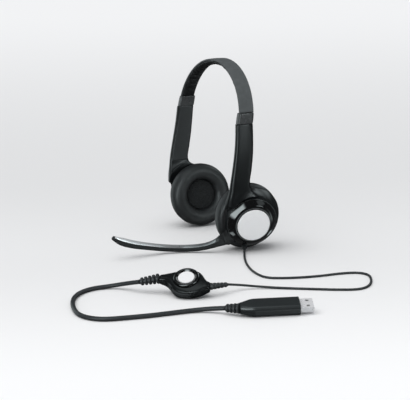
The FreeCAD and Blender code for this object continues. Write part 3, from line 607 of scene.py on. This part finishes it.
def housing(side, body):
    step = 0.6
    name = SIDE[side]
    top = HUB_LOW if side > 0 else RING_LOW
    low, high = (46, -32, 1.5), (76.5, 33, ARM_TOP + 0.5)
    obj = skin(name + "_housing", housing_field(top), low, high, step, HOUSING, side)
    return piece(obj, "housing_plastic", body, name + "_arm_shell")


def arm_cover(side, body):
    """Flush inner face of the arm, its screws under the surface."""
    name = SIDE[side]

    def field(p):
        return smooth_max(arm_field(p), window_field(p, 0.2), 0.3)
    obj = skin(name + "_cover", field, (61, -24, 66), (68.5, 0, ARM_TOP + 0.5), 0.5, COVER_LIT, side)
    return piece(obj, "housing_plastic", body, name + "_arm_cover", name + "_cover_screws")


# ---- ring and badge ----
def ball_level(radius):
    return math.sqrt(DOME_R ** 2 - radius ** 2) - BALL_DEPTH


def ring(side, body):
    name = SIDE[side]
    lip = BADGE_R + 0.1
    facet = [(lip + 1.05, -1.7), (lip + 1.35, -1.6), (lip + 3.2, -2.22)]
    outer = []
    for k in range(15):
        r = lip + 3.5 + (RING_R - lip - 3.5) * k / 14
        outer.append((r, ball_level(r) - 0.02))
    profile = [(14.2, -2.5), (14.2, -1.5), (lip - 0.1, -1.5), (lip + 0.05, -1.7)] + facet
    profile += outer + [(RING_R - 0.05, RING_LOW + 0.1), (RING_R - 0.3, RING_LOW), (RING_R - 1.6, RING_LOW),
                        (RING_R - 3.2, RING_LOW + 1.6), (lip, -2.5)]
    obj = revolve(name + "_ring", profile, dome_point, GLOSS, side, 240)
    weighted(obj)
    return piece(obj, "gloss_ring", body, name + "_bezel_ring")


def badge(side, body):
    name = SIDE[side]
    edge = BADGE_R - 0.1
    profile = [(0.001, -1.3), (edge, -1.3), (edge, -0.5), (edge - 0.06, -0.28), (edge - 0.2, -0.12),
               (edge - 0.45, 0.0)]
    profile += [(r, 0.12 * (1 - (r / edge) ** 2)) for r in np.linspace(edge - 1.2, 0.001, 12)]
    obj = revolve(name + "_disc", profile, dome_point, BADGE, side, 200, closed=False)
    return piece(obj, "badge_silver", body, name + "_badge")


# ---- cushions and foam ----
def cushion(side, body):
    """Foam ring in soft leatherette, swollen from its seams and slightly creased round the ear hole."""
    name = SIDE[side]
    profile = catmull([(EAR_R + 0.3, 13.5), (EAR_R - 0.3, 10.2), (ROLL_R + 0.1, 7.6), (ROLL_R + 0.3, 5.2),
                       (ROLL_R + 1.4, 2.9), (ROLL_R + 3.6, 1.15), (22.6, 0.35), (26.0, 0.8), (28.5, 2.4),
                       (30.0, 4.8), (30.7, 7.6), (30.75, 10.3), (30.5, 12.9), (29.8, 15.0), (28.2, 16.25),
                       (26.6, 16.35)], 3)
    steps = 132
    angle = turn_of(steps)
    rows, fixed = [], []
    for radius, t in profile:
        near = math.exp(-((radius - ROLL_R) / 3.0) ** 2) * (t < 9)
        ring_r = np.full(steps, radius)
        ring_t = np.full(steps, t)
        for i, a in enumerate(angle):
            wave = noise.noise(Vector((math.cos(a) * 2.3, math.sin(a) * 2.3, t * 0.07 + side)))
            crease = noise.noise(Vector((math.cos(a) * 8, math.sin(a) * 8, t * 0.05 + 5 * side)))
            ring_r[i] += 0.10 * wave + 0.2 * near * crease
            ring_t[i] += 0.12 * wave + 0.16 * near * crease
        rows.append(cup_point(ring_r * np.cos(angle), ring_r * np.sin(angle), ring_t))
        fixed.append(np.full(steps, t > 14.2 or (radius < EAR_R + 1 and t > 6.5)))
    faces = grid_faces(len(rows), steps, closed_rows=True)
    verts = inflate(name, np.array(rows).reshape(-1, 3), faces, np.array(fixed).ravel(), 2.5, 0.012, 0.5)
    obj = new_mesh(name + "_ear_cushion", world(verts, side), faces, CUSHION)
    finer(obj)
    return piece(obj, "cushion_leatherette", body, name + "_cushion")


def foam(side, body):
    """Foam disc, faintly domed, its edge tucked under the cushion."""
    name = SIDE[side]
    steps, rings, rim = 160, 44, ROLL_R - 0.35
    angle = turn_of(steps)
    rows = []
    for k in range(rings):
        radius = rim * (k + 0.02) / (rings - 1 + 0.02)
        t = np.full(steps, 6.0 + 0.9 * (radius / rim) ** 4)
        for i, a in enumerate(angle):
            t[i] += 0.22 * noise.noise(Vector((radius * math.cos(a), radius * math.sin(a), 3 * side)) * 0.9)
        rows.append(world(cup_point(radius * np.cos(angle), radius * np.sin(angle), t), side))
    for radius in (rim, 0.05):
        back = cup_point(radius * np.cos(angle), radius * np.sin(angle), np.full(steps, 7.5))
        rows.append(world(back, side))
    faces = grid_faces(len(rows), steps, closed_rows=True)
    obj = new_mesh(name + "_foam_disc", np.array(rows).reshape(-1, 3), faces, FOAM)
    return piece(obj, "foam_scrim", body, name + "_scrim")


# ---- headband ----
BAND_HALF = 68.3
BAND_RISE = 55.8
BAND_BASE = 118.0
BAND_Y = -7.3
BAND_LEAN = 0.137
BAND_WIDE = 14.8
COLLAR_TOP = 130.9
PAD_PLAIN, PAD_FADE = 0.30, 0.35  # radians of arch without gathers, and over which they come in


def band_rows(depths, widths, low, count, ripple=None):
    """Rings of points along the band: an outline in (depth, width) carried along the arch."""
    start = math.asin((low - BAND_BASE) / (BAND_RISE - 1))
    rows = []
    for i in range(count):
        a = start + (math.pi - 2 * start) * i / (count - 1)
        row = []
        for d, w in zip(depths, widths):
            dip = ripple(a, d, w) if ripple else 0.0
            x = (BAND_HALF - d - dip) * math.cos(a)
            z = BAND_BASE + (BAND_RISE - d - dip) * math.sin(a)
            row.append((x, BAND_Y + w + BAND_LEAN * (z - BAND_BASE), z))
        rows.append(row)
    return np.array(rows)


def strap():
    half = BAND_WIDE / 2
    outline = round_corners([(0, -half), (0.0, 0.0), (0, half), (1.7, half - 0.1), (1.7, -half + 0.1)],
                            [0.75, 0.1, 0.75, 0.5, 0.5], 5)
    outline = np.array([(d + 0.35 * (w / half) ** 4 if d < 0.5 else d, w) for d, w in outline])
    obj = loft("strap", world(band_rows(outline[:, 0], outline[:, 1], COLLAR_TOP + 0.15, 170)), STRAP)
    return piece(obj, "strap_leatherette", "headband", "band_strap")


def pad_ripple(a, d, w):
    """Crosswise gathers on the side that meets the head, fading out towards the band's ends."""
    depth = max(0.0, (d - 2.6) / 1.8)
    from_end = min(a - PAD_PLAIN, math.pi - PAD_PLAIN - a) / PAD_FADE
    away = math.sin(max(0.0, min(1.0, from_end)) * math.pi / 2)
    gather = noise.noise(Vector((a * 17, w * 0.10, 0.3))) + 0.5 * noise.noise(Vector((a * 39, w * 0.16, 4.0)))
    return depth * away * (1.15 * gather + 0.15)


def pad():
    half = BAND_WIDE / 2 - 0.4
    points = [(2.35, w) for w in np.linspace(-half, half, 5)]
    points += [(2.35 + 2.0 * (1 - abs(w / half) ** 3.0), w) for w in np.linspace(half, -half, 17)[1:-1]]
    outline = np.array(points)
    rows = band_rows(outline[:, 0], outline[:, 1], COLLAR_TOP + 0.6, 230, pad_ripple)
    n, m = rows.shape[:2]
    faces = grid_faces(n, m) + [tuple(range(m)), tuple(range((n - 1) * m, n * m))]
    pinned = np.zeros((n, m), bool)
    pinned[:, :6] = True
    pinned[:3] = True
    pinned[-3:] = True
    verts = inflate("pad", rows.reshape(-1, 3), faces, pinned.ravel(), 0.8, 0.05, 0.8)
    obj = new_mesh("pad", world(verts), faces, PAD)
    finer(obj)
    return piece(obj, "pad_leatherette", "headband", "band_pad")


def collar(side):
    """Sleeve between band and arm: softly rounded, a hair proud of both, its ends eased in."""
    name = SIDE[side]
    rows = []
    profile = [(0.05, 0.5), (0.2, 0.22), (0.5, 0.05), (1.0, 0.0), (5.0, -0.08), (9.0, 0.0), (9.45, 0.06),
               (9.7, 0.2), (9.8, 0.45)]
    for level, inset in profile:
        lean = level * BAND_LEAN
        inner, outer = 62.4 - level * 0.10 + inset, 68.9 - level * 0.05 - inset
        front, rear = -15.3 + level * 0.09 + lean + inset, 0.3 + lean - inset
        outline = round_corners([(inner, front), (outer, front), (outer, rear - 3.3), (outer - 1.3, rear),
                                 (inner, rear)], [1.4, 2.2, 1.6, 1.0, 1.4], 7)
        rows.append(world([(x, y, ARM_TOP + level) for x, y in outline], side))
    obj = loft(name + "_collar", rows, COLLAR)
    weighted(obj)
    return piece(obj, "collar_plastic", "headband", name + "_band_collar")


# ---- boom ----
# middle of the section (rear, up, level), half height, half thickness
BOOM_STATIONS = [
    (-18.2, -13.4, -7.9, 10.5, 0.9), (-24.8, -17.0, -9.2, 7.4, 1.5), (-31.2, -20.6, -10.5, 4.9, 2.4),
    (-38.6, -23.7, -12.2, 3.95, 2.8), (-46.8, -26.1, -14.6, 3.85, 2.9), (-55.3, -27.7, -17.6, 3.85, 2.9),
    (-64.5, -28.4, -20.0, 3.9, 2.9), (-78.0, -27.4, -21.5, 3.9, 2.9), (-92.7, -24.4, -21.1, 3.95, 2.9),
    (-108.0, -20.3, -20.0, 4.3, 3.0), (-119.5, -15.8, -19.2, 4.2, 2.8), (-128.0, -10.8, -18.7, 2.3, 1.5),
]
BOOM_TABLE = catmull(BOOM_STATIONS, 8)
BOOM_OUT_T = 18.8  # beside the cushion the boom stays this far out from its face
BOOM_CLEAR = 0.35
BOOM_TURNS = (-52, 0, 14)  # first and last turn in degrees, and how many are tried


def boom_frame(i):
    before, after = BOOM_TABLE[max(i - 1, 0)], BOOM_TABLE[min(i + 1, len(BOOM_TABLE) - 1)]
    along = unit(after[:3] - before[:3])
    share = min(1.0, max(0.0, (20 - i) / 16))
    share = share * share * (3 - 2 * share)
    up = unit(np.array([-0.6 * share, 1 - 0.2 * share, 0]))
    up = unit(up - along * (up @ along))
    return BOOM_TABLE[i][:3], np.cross(up, along), up, BOOM_TABLE[i][3], BOOM_TABLE[i][4]


def boom_outline(half, thick, sink):
    """Section of the boom, with the crease below the inlay and the inlay's seat sunk by sink."""
    low, top = np.array((0.72 * thick, 0.34 * half)), np.array((-0.15 * thick, half))
    run = unit(top - low)
    push = np.array((run[1], -run[0])) * sink
    points = [(0.3 * thick, -0.9 * half), (0.95 * thick, -0.35 * half), low, low + run * 0.1 - push,
              top - push, (-0.6 * thick, 0.72 * half), (-thick, 0.0), (-0.6 * thick, -0.72 * half)]
    return points, low, top, run


def boom():
    """Paddle under the ring that narrows to a curved arm; its inner side clears the housing as it turns."""
    rows = []
    corner_radii = [1.4, 0.9, 0.25, 0.15, 0.3, 1.6, 1.6, 1.6]
    for i in range(len(BOOM_TABLE)):
        middle, out, up, half, thick = boom_frame(i)
        sink = 0.5 * min(1.0, max(0.0, (i - 14) / 3))
        outline = round_corners(boom_outline(half, thick, sink)[0], corner_radii, 4)
        rows.append([middle + out * x + up * y for x, y in outline])
    rows = np.array(rows)
    tip = rows[-1].mean(0)
    for share, reach in ((0.80, 0.5), (0.5, 0.85), (0.15, 1.0)):
        nose = tip + (rows[-1] - rows[-1].mean(0)) * share + np.array([-1.0, 0.55, 0.0]) * reach
        rows = np.vstack([rows, [nose]])
    placed = dome_point(rows[..., 0], rows[..., 1], rows[..., 2])
    field = housing_field(HUB_LOW)
    for _ in range(3):
        nearest = np.full(placed.shape[:2], 9.0)
        for turn in np.linspace(*BOOM_TURNS):
            nearest = np.minimum(nearest, field(turned_about_dome(placed, turn)))
        near = (cup_radius(placed) < CUSHION_R + 1.6) & (cup_t(placed) < BOOM_OUT_T)
        lift = np.where(near, BOOM_OUT_T - cup_t(placed), 0.0)
        lift = np.maximum(lift, np.clip(BOOM_CLEAR - nearest, 0, 1.2))
        placed = placed + lift[..., None] * DOME_AXIS
    obj = loft("boom", world(placed), BOOM)
    weighted(obj)
    return piece(obj, "boom_plastic", "boom", "boom_arm")


def turned_about_dome(points, degrees):
    a = math.radians(degrees)
    q = points - BADGE_AT
    level = (q @ DOME_AXIS)[..., None] * DOME_AXIS
    flat = q - level
    return BADGE_AT + level + flat * math.cos(a) + np.cross(DOME_AXIS, flat) * math.sin(a)


def inlay():
    rows = []
    for i in range(16, len(BOOM_TABLE) - 1):
        middle, out, up, half, thick = boom_frame(i)
        _, low, top, run = boom_outline(half, thick, 0.0)
        normal = np.array((run[1], -run[0]))
        a, b = low + run * 0.16, top - run * 0.12
        arc = [a + (b - a) * u + normal * (0.16 * math.sin(math.pi * u) + 0.04) for u in np.linspace(0, 1, 9)]
        outline = [a - normal * 0.45] + arc + [b - normal * 0.45]
        rows.append([middle + out * x + up * y for x, y in outline])
    rows = np.array(rows)
    placed = np.array([world(dome_point(r[:, 0], r[:, 1], r[:, 2])) for r in rows])
    obj = loft("inlay", placed, INLAY)
    add_bevel(obj, 0.15, 2, 40)
    return piece(obj, "inlay_satin", "boom", "boom_inlay")


# ---- cords ----
LEAD_D = 2.0
CABLE_D = 3.7
LEAD_ROUTE = [
    (65.5, 39.0, 3.3), (71.8, 35.8, 2.2), (80.5, 31.4, 1.2), (93, 25.8, 1.05), (108, 20.2, 1.05),
    (124, 15.8, 1.05), (140, 14.0, 1.05), (153.5, 15.5, 1.05), (161, 26.1, 1.05), (167.3, 41.6, 1.05),
    (171.4, 59.6, 1.05), (172.6, 78.1, 1.05), (177.2, 93.1, 1.05), (187.5, 98.2, 1.05), (202, 91.8, 1.05),
    (216.5, 81.1, 1.05), (222.2, 68.1, 1.05), (213.8, 51.1, 1.05), (202.5, 34.8, 1.05), (192.5, 20.0, 1.05),
    (182.6, 6.2, 1.2), (175.8, -6.0, 2.2), (173.0, -15.8, 3.8), (173.2, -23.6, 5.4), (174.6, -30.9, 7.0),
]
CABLE_ROUTE = [
    (138.4, -95.4, 9.0), (129.8, -100.7, 6.6), (121.4, -106.8, 3.9), (116.2, -115.4, 2.1),
    (114.6, -127.4, 1.9), (119.6, -140.4, 1.9), (131, -150.8, 1.9), (145, -157.2, 1.9), (161, -161.6, 1.9),
    (177.5, -163.6, 1.9), (190.7, -158.8, 1.9), (199.2, -149, 1.9), (203.6, -130.4, 1.9),
    (207.2, -111.9, 1.9), (209.0, -93.4, 1.95), (211.4, -76.9, 2.1), (217.6, -65.6, 3.3), (226.2, -58.4, 4.9),
]


def cord(name, route, diameter, node):
    curve = bpy.data.curves.new(name, "CURVE")
    curve.dimensions = "3D"
    curve.bevel_depth = diameter * MM / 2
    curve.bevel_resolution = 6
    curve.resolution_u = 14
    curve.use_fill_caps = True
    spline = curve.splines.new("NURBS")
    spline.points.add(len(route) - 1)
    for point, at in zip(spline.points, route):
        point.co = (at[0] * MM, at[1] * MM, at[2] * MM, 1)
    spline.order_u = 3
    spline.use_endpoint_u = True
    curve.materials.append(RUBBER)
    obj = bpy.data.objects.new(name, curve)
    in_scene(obj)
    return piece(obj, "cord_rubber", "left_arm", node)


# ---- remote ----
REMOTE_AT = np.array([165.7, -64.7, 10.1])
REMOTE_X = np.array([0.60, 0.80, 0.0])
REMOTE_UP = -np.array(joints["mute_press"]["axis"])
REMOTE_Y = np.cross(REMOTE_UP, REMOTE_X)
REMOTE_SPLIT = 0.4
PLUG_NOSE = (236.3, -50.4, 6.3)
REMOTE_OUTLINE = [(-24.0, 1.2), (-24.0, 4.6), (-24.0, 8.0), (-19.0, 9.3), (-12.5, 11.4), (-6.0, 14.4),
                  (1.5, 15.9), (8.8, 13.2), (13.0, 8.4), (15.6, 4.2), (18.0, 1.8), (20.5, 0.6),
                  (20.5, -2.5), (20.5, -5.8), (17.0, -8.0), (12.2, -12.0), (3.6, -14.4), (-5.2, -12.2),
                  (-10.2, -8.0), (-13.8, -3.2), (-18.0, 0.2)]


def remote_world(p):
    return (REMOTE_AT + p[..., :1] * REMOTE_X + p[..., 1:2] * REMOTE_Y + p[..., 2:] * REMOTE_UP) * MM


def outline_distance(outline):
    """Signed distance to a closed outline in 2-D, negative inside."""
    ring = np.array(outline, float)
    ends = np.roll(ring, -1, axis=0)

    def field(x, y):
        best = np.full(x.shape, 1e9)
        inside = np.zeros(x.shape, bool)
        for (ax, ay), (bx, by) in zip(ring, ends):
            ex, ey = bx - ax, by - ay
            u = np.clip(((x - ax) * ex + (y - ay) * ey) / (ex * ex + ey * ey), 0, 1)
            best = np.minimum(best, np.hypot(x - ax - ex * u, y - ay - ey * u))
            if ay != by:
                inside ^= ((ay > y) != (by > y)) & (x < ex * (y - ay) / ey + ax)
        return np.where(inside, -best, best)
    return field


def remote_shells():
    """Crowned upper shell and boat-shaped lower shell that meet in a fine groove, with the wheel's slot."""
    closed = REMOTE_OUTLINE[-1:] + REMOTE_OUTLINE + REMOTE_OUTLINE[:2]
    smooth = catmull(closed, 4)[4:-5]
    edge = outline_distance(smooth)
    button_x, button_y, dish_r, shaft_r = 0.0, 2.6, 11.15, 7.6
    wheel_x, wheel_y, slot_r, slot_half = 0.6, -2.0, 13.0, 1.75

    def body(p):
        x, y, z = p[..., 0], p[..., 1], p[..., 2]
        side = edge(x, y)
        crown = z - 4.8 + (x / 1.9) ** 2 / 92 + y ** 2 / 80
        belly = (15.8 - np.sqrt(np.maximum(24.0 ** 2 - (x / 1.6) ** 2 - y ** 2, 1))) - z
        whole = smooth_max(smooth_max(side, crown, 3.4), belly, 2.0)
        slot = np.maximum(np.hypot(x - wheel_x, y - wheel_y) - slot_r, np.abs(z - 0.1) - slot_half)
        return smooth_max(whole, -slot, 0.4)

    def top(p):
        z = p[..., 2]
        hole = np.hypot(p[..., 0] - button_x, p[..., 1] - button_y)
        well = smooth_max(hole - dish_r, 2.95 - z, 0.3)
        shaft = np.maximum(hole - shaft_r, -z)
        groove = REMOTE_SPLIT + 0.08 - z
        shell = smooth_max(smooth_max(body(p), groove, 0.4), -well, 0.4)
        return smooth_max(shell, -shaft, 0.3)

    def bottom(p):
        return smooth_max(body(p), p[..., 2] - REMOTE_SPLIT + 0.12, 0.4)

    step = 0.4
    upper = skin("remote_cover", top, (-25, -15.5, 0), (21.5, 17, 5.5), step, REMOTE, to_world=remote_world)
    lower = skin("remote_base", bottom, (-25, -15.5, -9), (21.5, 17, 0.8), step, REMOTE_SHADED,
                 to_world=remote_world)
    return (piece(upper, "remote_plastic", "left_arm", "remote_top"),
            piece(lower, "remote_plastic", "left_arm", "remote_bottom"))


def relief(name, start, end, big, small, core, fins):
    """Strain relief of separate fins on a slim core, from a housing at start to the free cord at end."""
    start, end = np.array(start, float), np.array(end, float)
    along = unit(end - start)
    level = unit(np.cross([0, 0, 1], along))
    lift = np.cross(along, level)
    pitch = np.linalg.norm(end - start) / fins
    angle = turn_of(40)
    steps = [(-0.2, core)]
    for i in range(fins):
        outer = big + (small - big) * i / (fins - 1)
        steps += [(i, core), (i + 0.05, outer - 0.2), (i + 0.12, outer), (i + 0.46, outer),
                  (i + 0.53, outer - 0.2), (i + 0.58, core)]
    steps.append((fins, core))
    around = np.outer(np.cos(angle), level) + np.outer(np.sin(angle), lift)
    rows = [start + along * pitch * at + around * radius for at, radius in steps]
    obj = loft(name + "_fins", np.array(rows) * MM, RUBBER)
    weighted(obj)
    return piece(obj, "cord_rubber", "left_arm", name)


def reliefs():
    neck = remote_world(np.array([(20.5, -2.5, 0.4), (-24.0, 4.4, 0.4)])) / MM
    return (relief("lead_relief", neck[0], LEAD_ROUTE[-1], 2.9, 2.1, 1.25, 5),
            relief("cable_relief", neck[1], CABLE_ROUTE[0], 4.3, 3.4, 2.1, 5),
            relief("plug_relief", PLUG_NOSE, CABLE_ROUTE[-1], 4.2, 3.4, 2.1, 4))


# ---- CAD nodes that stay ----
def dress_cad_nodes():
    slots = {part["node"]: part["material_slot"] for part in frame["record"]["subparts"]}
    softened = {"boom_hub": 0.12, "left_cable_boot": 0.3, "remote_bezel": 0.15, "mute_button": 0.15,
                "plug_top": 0.45, "usb_shell": 0.12, "usb_tongue": 0.08, "volume_wheel": 0.12}
    for name, obj in nodes.items():
        if obj.hide_render:
            continue
        obj.data.materials.clear()
        obj.data.materials.append(SLOT_LOOKS[slots[name]])
        if name in softened:
            add_bevel(obj, softened[name], 3, 30)
            weighted(obj)


# ---- stage ----
CAMERA_AZIMUTH = 65.34
CAMERA_ELEVATION = 12.73
CAMERA_ROLL = -1.13
CAMERA_FAR = 1256.88
CAMERA_AIM = (16.79, -2.91)
CAMERA_LENS = 113.65
# the paper's tone is painted light: it follows the logarithm of the distance, in metres, from a line
# FLOOR_NEAR before the headset
FLOOR_NEAR = 1.205
FLOOR_BASE = 6.0
WORLD_DIFFUSE, WORLD_GLOSSY, WORLD_SEEN = 0.5, 0.06, 0.35
CARD_FAR = 1.5
# painted light on the paper: its tone at each distance
FLOOR_PAINTED_TONES = [(-0.40, 0.94), (-0.05, 0.79), (0.30, 0.725), (3.0, 0.885)]


def camera():
    a, e, r = (math.radians(v) for v in (CAMERA_AZIMUTH, CAMERA_ELEVATION, CAMERA_ROLL))
    back = np.array([math.sin(a) * math.cos(e), -math.cos(a) * math.cos(e), math.sin(e)])
    level = np.array([math.cos(a), math.sin(a), 0.0])
    upright = np.cross(back, level)
    right = math.cos(r) * level + math.sin(r) * upright
    up = -math.sin(r) * level + math.cos(r) * upright
    at = CAMERA_FAR * back - CAMERA_AIM[0] * right - CAMERA_AIM[1] * up + np.array([0, 0, CUP_CENTRE[2]])
    at = (at + SHIFT + np.array([0, 0, 0.3])) * MM
    data = bpy.data.cameras.new("camera")
    data.lens = CAMERA_LENS
    data.sensor_width = 36.0
    data.clip_end = 50
    obj = bpy.data.objects.new("camera", data)
    matrix = np.eye(4)
    matrix[:3, 0], matrix[:3, 1], matrix[:3, 2], matrix[:3, 3] = right, up, back, at
    obj.matrix_world = Matrix(matrix.tolist())
    in_scene(obj)
    bpy.context.scene.camera = obj


def stage():
    """A paper table that runs far back, its colour painted lighter towards the viewer and darker further
    back: painted light, like the fall of light on a studio sweep.
    """
    material = shader("paper", (0.8, 0.8, 0.8), 0.8, specular=0.1)
    tree = material.node_tree
    a = math.radians(CAMERA_AZIMUTH)
    place_in = add(tree, "ShaderNodeNewGeometry")
    along = add(tree, "ShaderNodeVectorMath", operation="DOT_PRODUCT")
    along.inputs[1].default_value = (-math.sin(a), math.cos(a), 0)
    wire(tree, place_in, "Position", along, 0)
    log_span = add(tree, "ShaderNodeMath", operation="LOGARITHM")
    shifted = add(tree, "ShaderNodeMath", operation="ADD")
    shifted.inputs[1].default_value = FLOOR_NEAR
    wire(tree, along, "Value", shifted, 0)
    wire(tree, shifted, "Value", log_span, 0)
    log_span.inputs[1].default_value = FLOOR_BASE
    # painted light: the paper's colour, lighter near the viewer and darker further back
    ramp = add(tree, "ShaderNodeValToRGB")
    ramp.color_ramp.interpolation = "EASE"
    elements = ramp.color_ramp.elements
    elements.remove(elements[1])
    elements[0].position = 0.0
    elements[0].color = (*[FLOOR_PAINTED_TONES[0][1]] * 3, 1)
    for reach, tone in FLOOR_PAINTED_TONES:
        element = elements.new(min(1.0, max(0.001, math.log(reach + FLOOR_NEAR, FLOOR_BASE) * 0.5 + 0.5)))
        element.color = (tone, tone, tone, 1)
    half = add(tree, "ShaderNodeMath", operation="MULTIPLY_ADD")
    half.inputs[1].default_value = 0.5
    half.inputs[2].default_value = 0.5
    wire(tree, log_span, "Value", half, 0)
    wire(tree, half, "Value", ramp, "Fac")
    tree.links.new(ramp.outputs["Color"], tree.nodes["Principled BSDF"].inputs["Base Color"])
    corners = [(-9, -9, 0), (9, -9, 0), (9, 9, 0), (-9, 9, 0)]
    floor = new_mesh("paper_table", corners, [(0, 1, 2, 3)], material)
    floor.visible_glossy = False


def direction(azimuth, elevation):
    """Unit vector; the azimuth is counted from the viewer's side, positive to the viewer's right."""
    a = math.radians(CAMERA_AZIMUTH - 90 + azimuth)
    e = math.radians(elevation)
    return Vector((math.cos(e) * math.cos(a), math.cos(e) * math.sin(a), math.sin(e)))


def card(name, corners, glow, material, soften=0.25):
    """A curved reflector seen only in the object's gloss, fading towards its edges.

    corners are four (azimuth, elevation) pairs in degrees, in order round the card."""
    n, m = 17, 13
    corners = [Vector(c) for c in corners]
    verts, glows = [], []
    for i in range(n):
        for j in range(m):
            u, v = i / (n - 1), j / (m - 1)
            at = corners[0].lerp(corners[1], u).lerp(corners[3].lerp(corners[2], u), v)
            verts.append(Vector((0, 0.03, 0.07)) + direction(at.x, at.y) * CARD_FAR)
            fade = min(1.0, max(0.0, min(u, 1 - u, v, 1 - v) / soften))
            glows.append(glow * fade * fade * (3 - 2 * fade))
    obj = new_mesh(name, verts, grid_faces(n, m, closed_cols=False), material)
    layer = obj.data.attributes.new("glow", "FLOAT", "POINT")
    layer.data.foreach_set("value", glows)
    obj.visible_camera = False
    obj.visible_diffuse = False
    obj.visible_shadow = False
    obj.visible_transmission = False


def upright(left, right, low, high):
    return (left, low), (right, low), (right, high), (left, high)


def card_material():
    material = bpy.data.materials.new("card_glow")
    material.use_nodes = True
    tree = material.node_tree
    tree.nodes.remove(tree.nodes["Principled BSDF"])
    glow = add(tree, "ShaderNodeAttribute")
    glow.attribute_name = "glow"
    light = add(tree, "ShaderNodeEmission")
    light.inputs["Color"].default_value = (0.88, 0.98, 1.0, 1)
    wire(tree, glow, "Fac", light, "Strength")
    tree.links.new(light.outputs["Emission"], tree.nodes["Material Output"].inputs["Surface"])
    return material


def lights():
    scene = bpy.context.scene
    world_look = bpy.data.worlds.new("studio")
    world_look.use_nodes = True
    node = world_look.node_tree.nodes["Background"]
    node.inputs["Color"].default_value = (0.95, 0.97, 1.0, 1)
    tree = world_look.node_tree
    path = add(tree, "ShaderNodeLightPath")
    dim = add(tree, "ShaderNodeMapRange", **{"To Min": WORLD_DIFFUSE, "To Max": WORLD_GLOSSY})
    wire(tree, path, "Is Glossy Ray", dim, "Value")
    seen = add(tree, "ShaderNodeMath", operation="MULTIPLY_ADD")
    seen.inputs[1].default_value = WORLD_SEEN
    wire(tree, path, "Is Camera Ray", seen, 0)
    wire(tree, dim, "Result", seen, 2)
    wire(tree, seen, "Value", node, "Strength")
    scene.world = world_look
    glow = card_material()
    card("card_upper_left", ((-40, -16), (6, 24), (-6, 47), (-64, -4)), 5.0, glow, 0.2)
    card("card_tip", upright(46, 84, 20, 46), 0.5, glow)
    card("card_top", upright(-120, 60, 54, 88), 1.4, glow, 0.3)
    card("card_right", upright(62, 80, -36, 10), 1.1, glow)
    card("card_middle", upright(36, 62, 6, 24), 7.0, glow)
    card("card_low", upright(43, 56, -36, -20), 1.2, glow)
    card("card_under", upright(14, 46, -48, -28), 1.8, glow)
    card("card_rear_right", upright(108, 152, 16, 50), 1.8, glow)
    card("card_far_left", upright(-150, -105, -40, 40), 1.0, glow)
    card("card_low_right", ((120, -40), (142, -30), (150, -38), (128, -48)), 1.2, glow)
    card("card_low_left", upright(-96, -62, -66, -52), 1.6, glow)
    sun = bpy.data.lights.new("sky", "SUN")
    sun.energy = 1.9
    sun.angle = math.radians(75)
    obj = bpy.data.objects.new("sky", sun)
    obj.rotation_euler = (-direction(-60, 72)).to_track_quat("-Z", "Y").to_euler()
    obj.visible_glossy = False
    in_scene(obj)
    scene.view_settings.view_transform = "Standard"
    scene.view_settings.look = "None"


# ---- the object ----
camera()
stage()
lights()

lead = cord("lead", LEAD_ROUTE, LEAD_D, "headset_lead")
cable = cord("cable", CABLE_ROUTE, CABLE_D, "usb_cable")

for side, arm_body, cup_body in ((1, "left_arm", "left_cup"), (-1, "right_arm", "right_cup")):
    housing(side, arm_body)
    arm_cover(side, arm_body)
    ring(side, arm_body)
    badge(side, arm_body)
    cushion(side, cup_body)
    foam(side, cup_body)
    collar(side)
strap()
pad()
boom()
inlay()
dress_cad_nodes()

lead_fins, cable_fins, plug_fins = reliefs()
remote_pieces = [nodes[n] for n in ("remote_bezel", "mute_button", "volume_wheel")]
remote_pieces += [*remote_shells(), lead_fins]
plug_pieces = [nodes[n] for n in ("plug_top", "plug_bottom", "usb_shell", "usb_tongue")]
plug_pieces += [plug_fins, cable_fins]
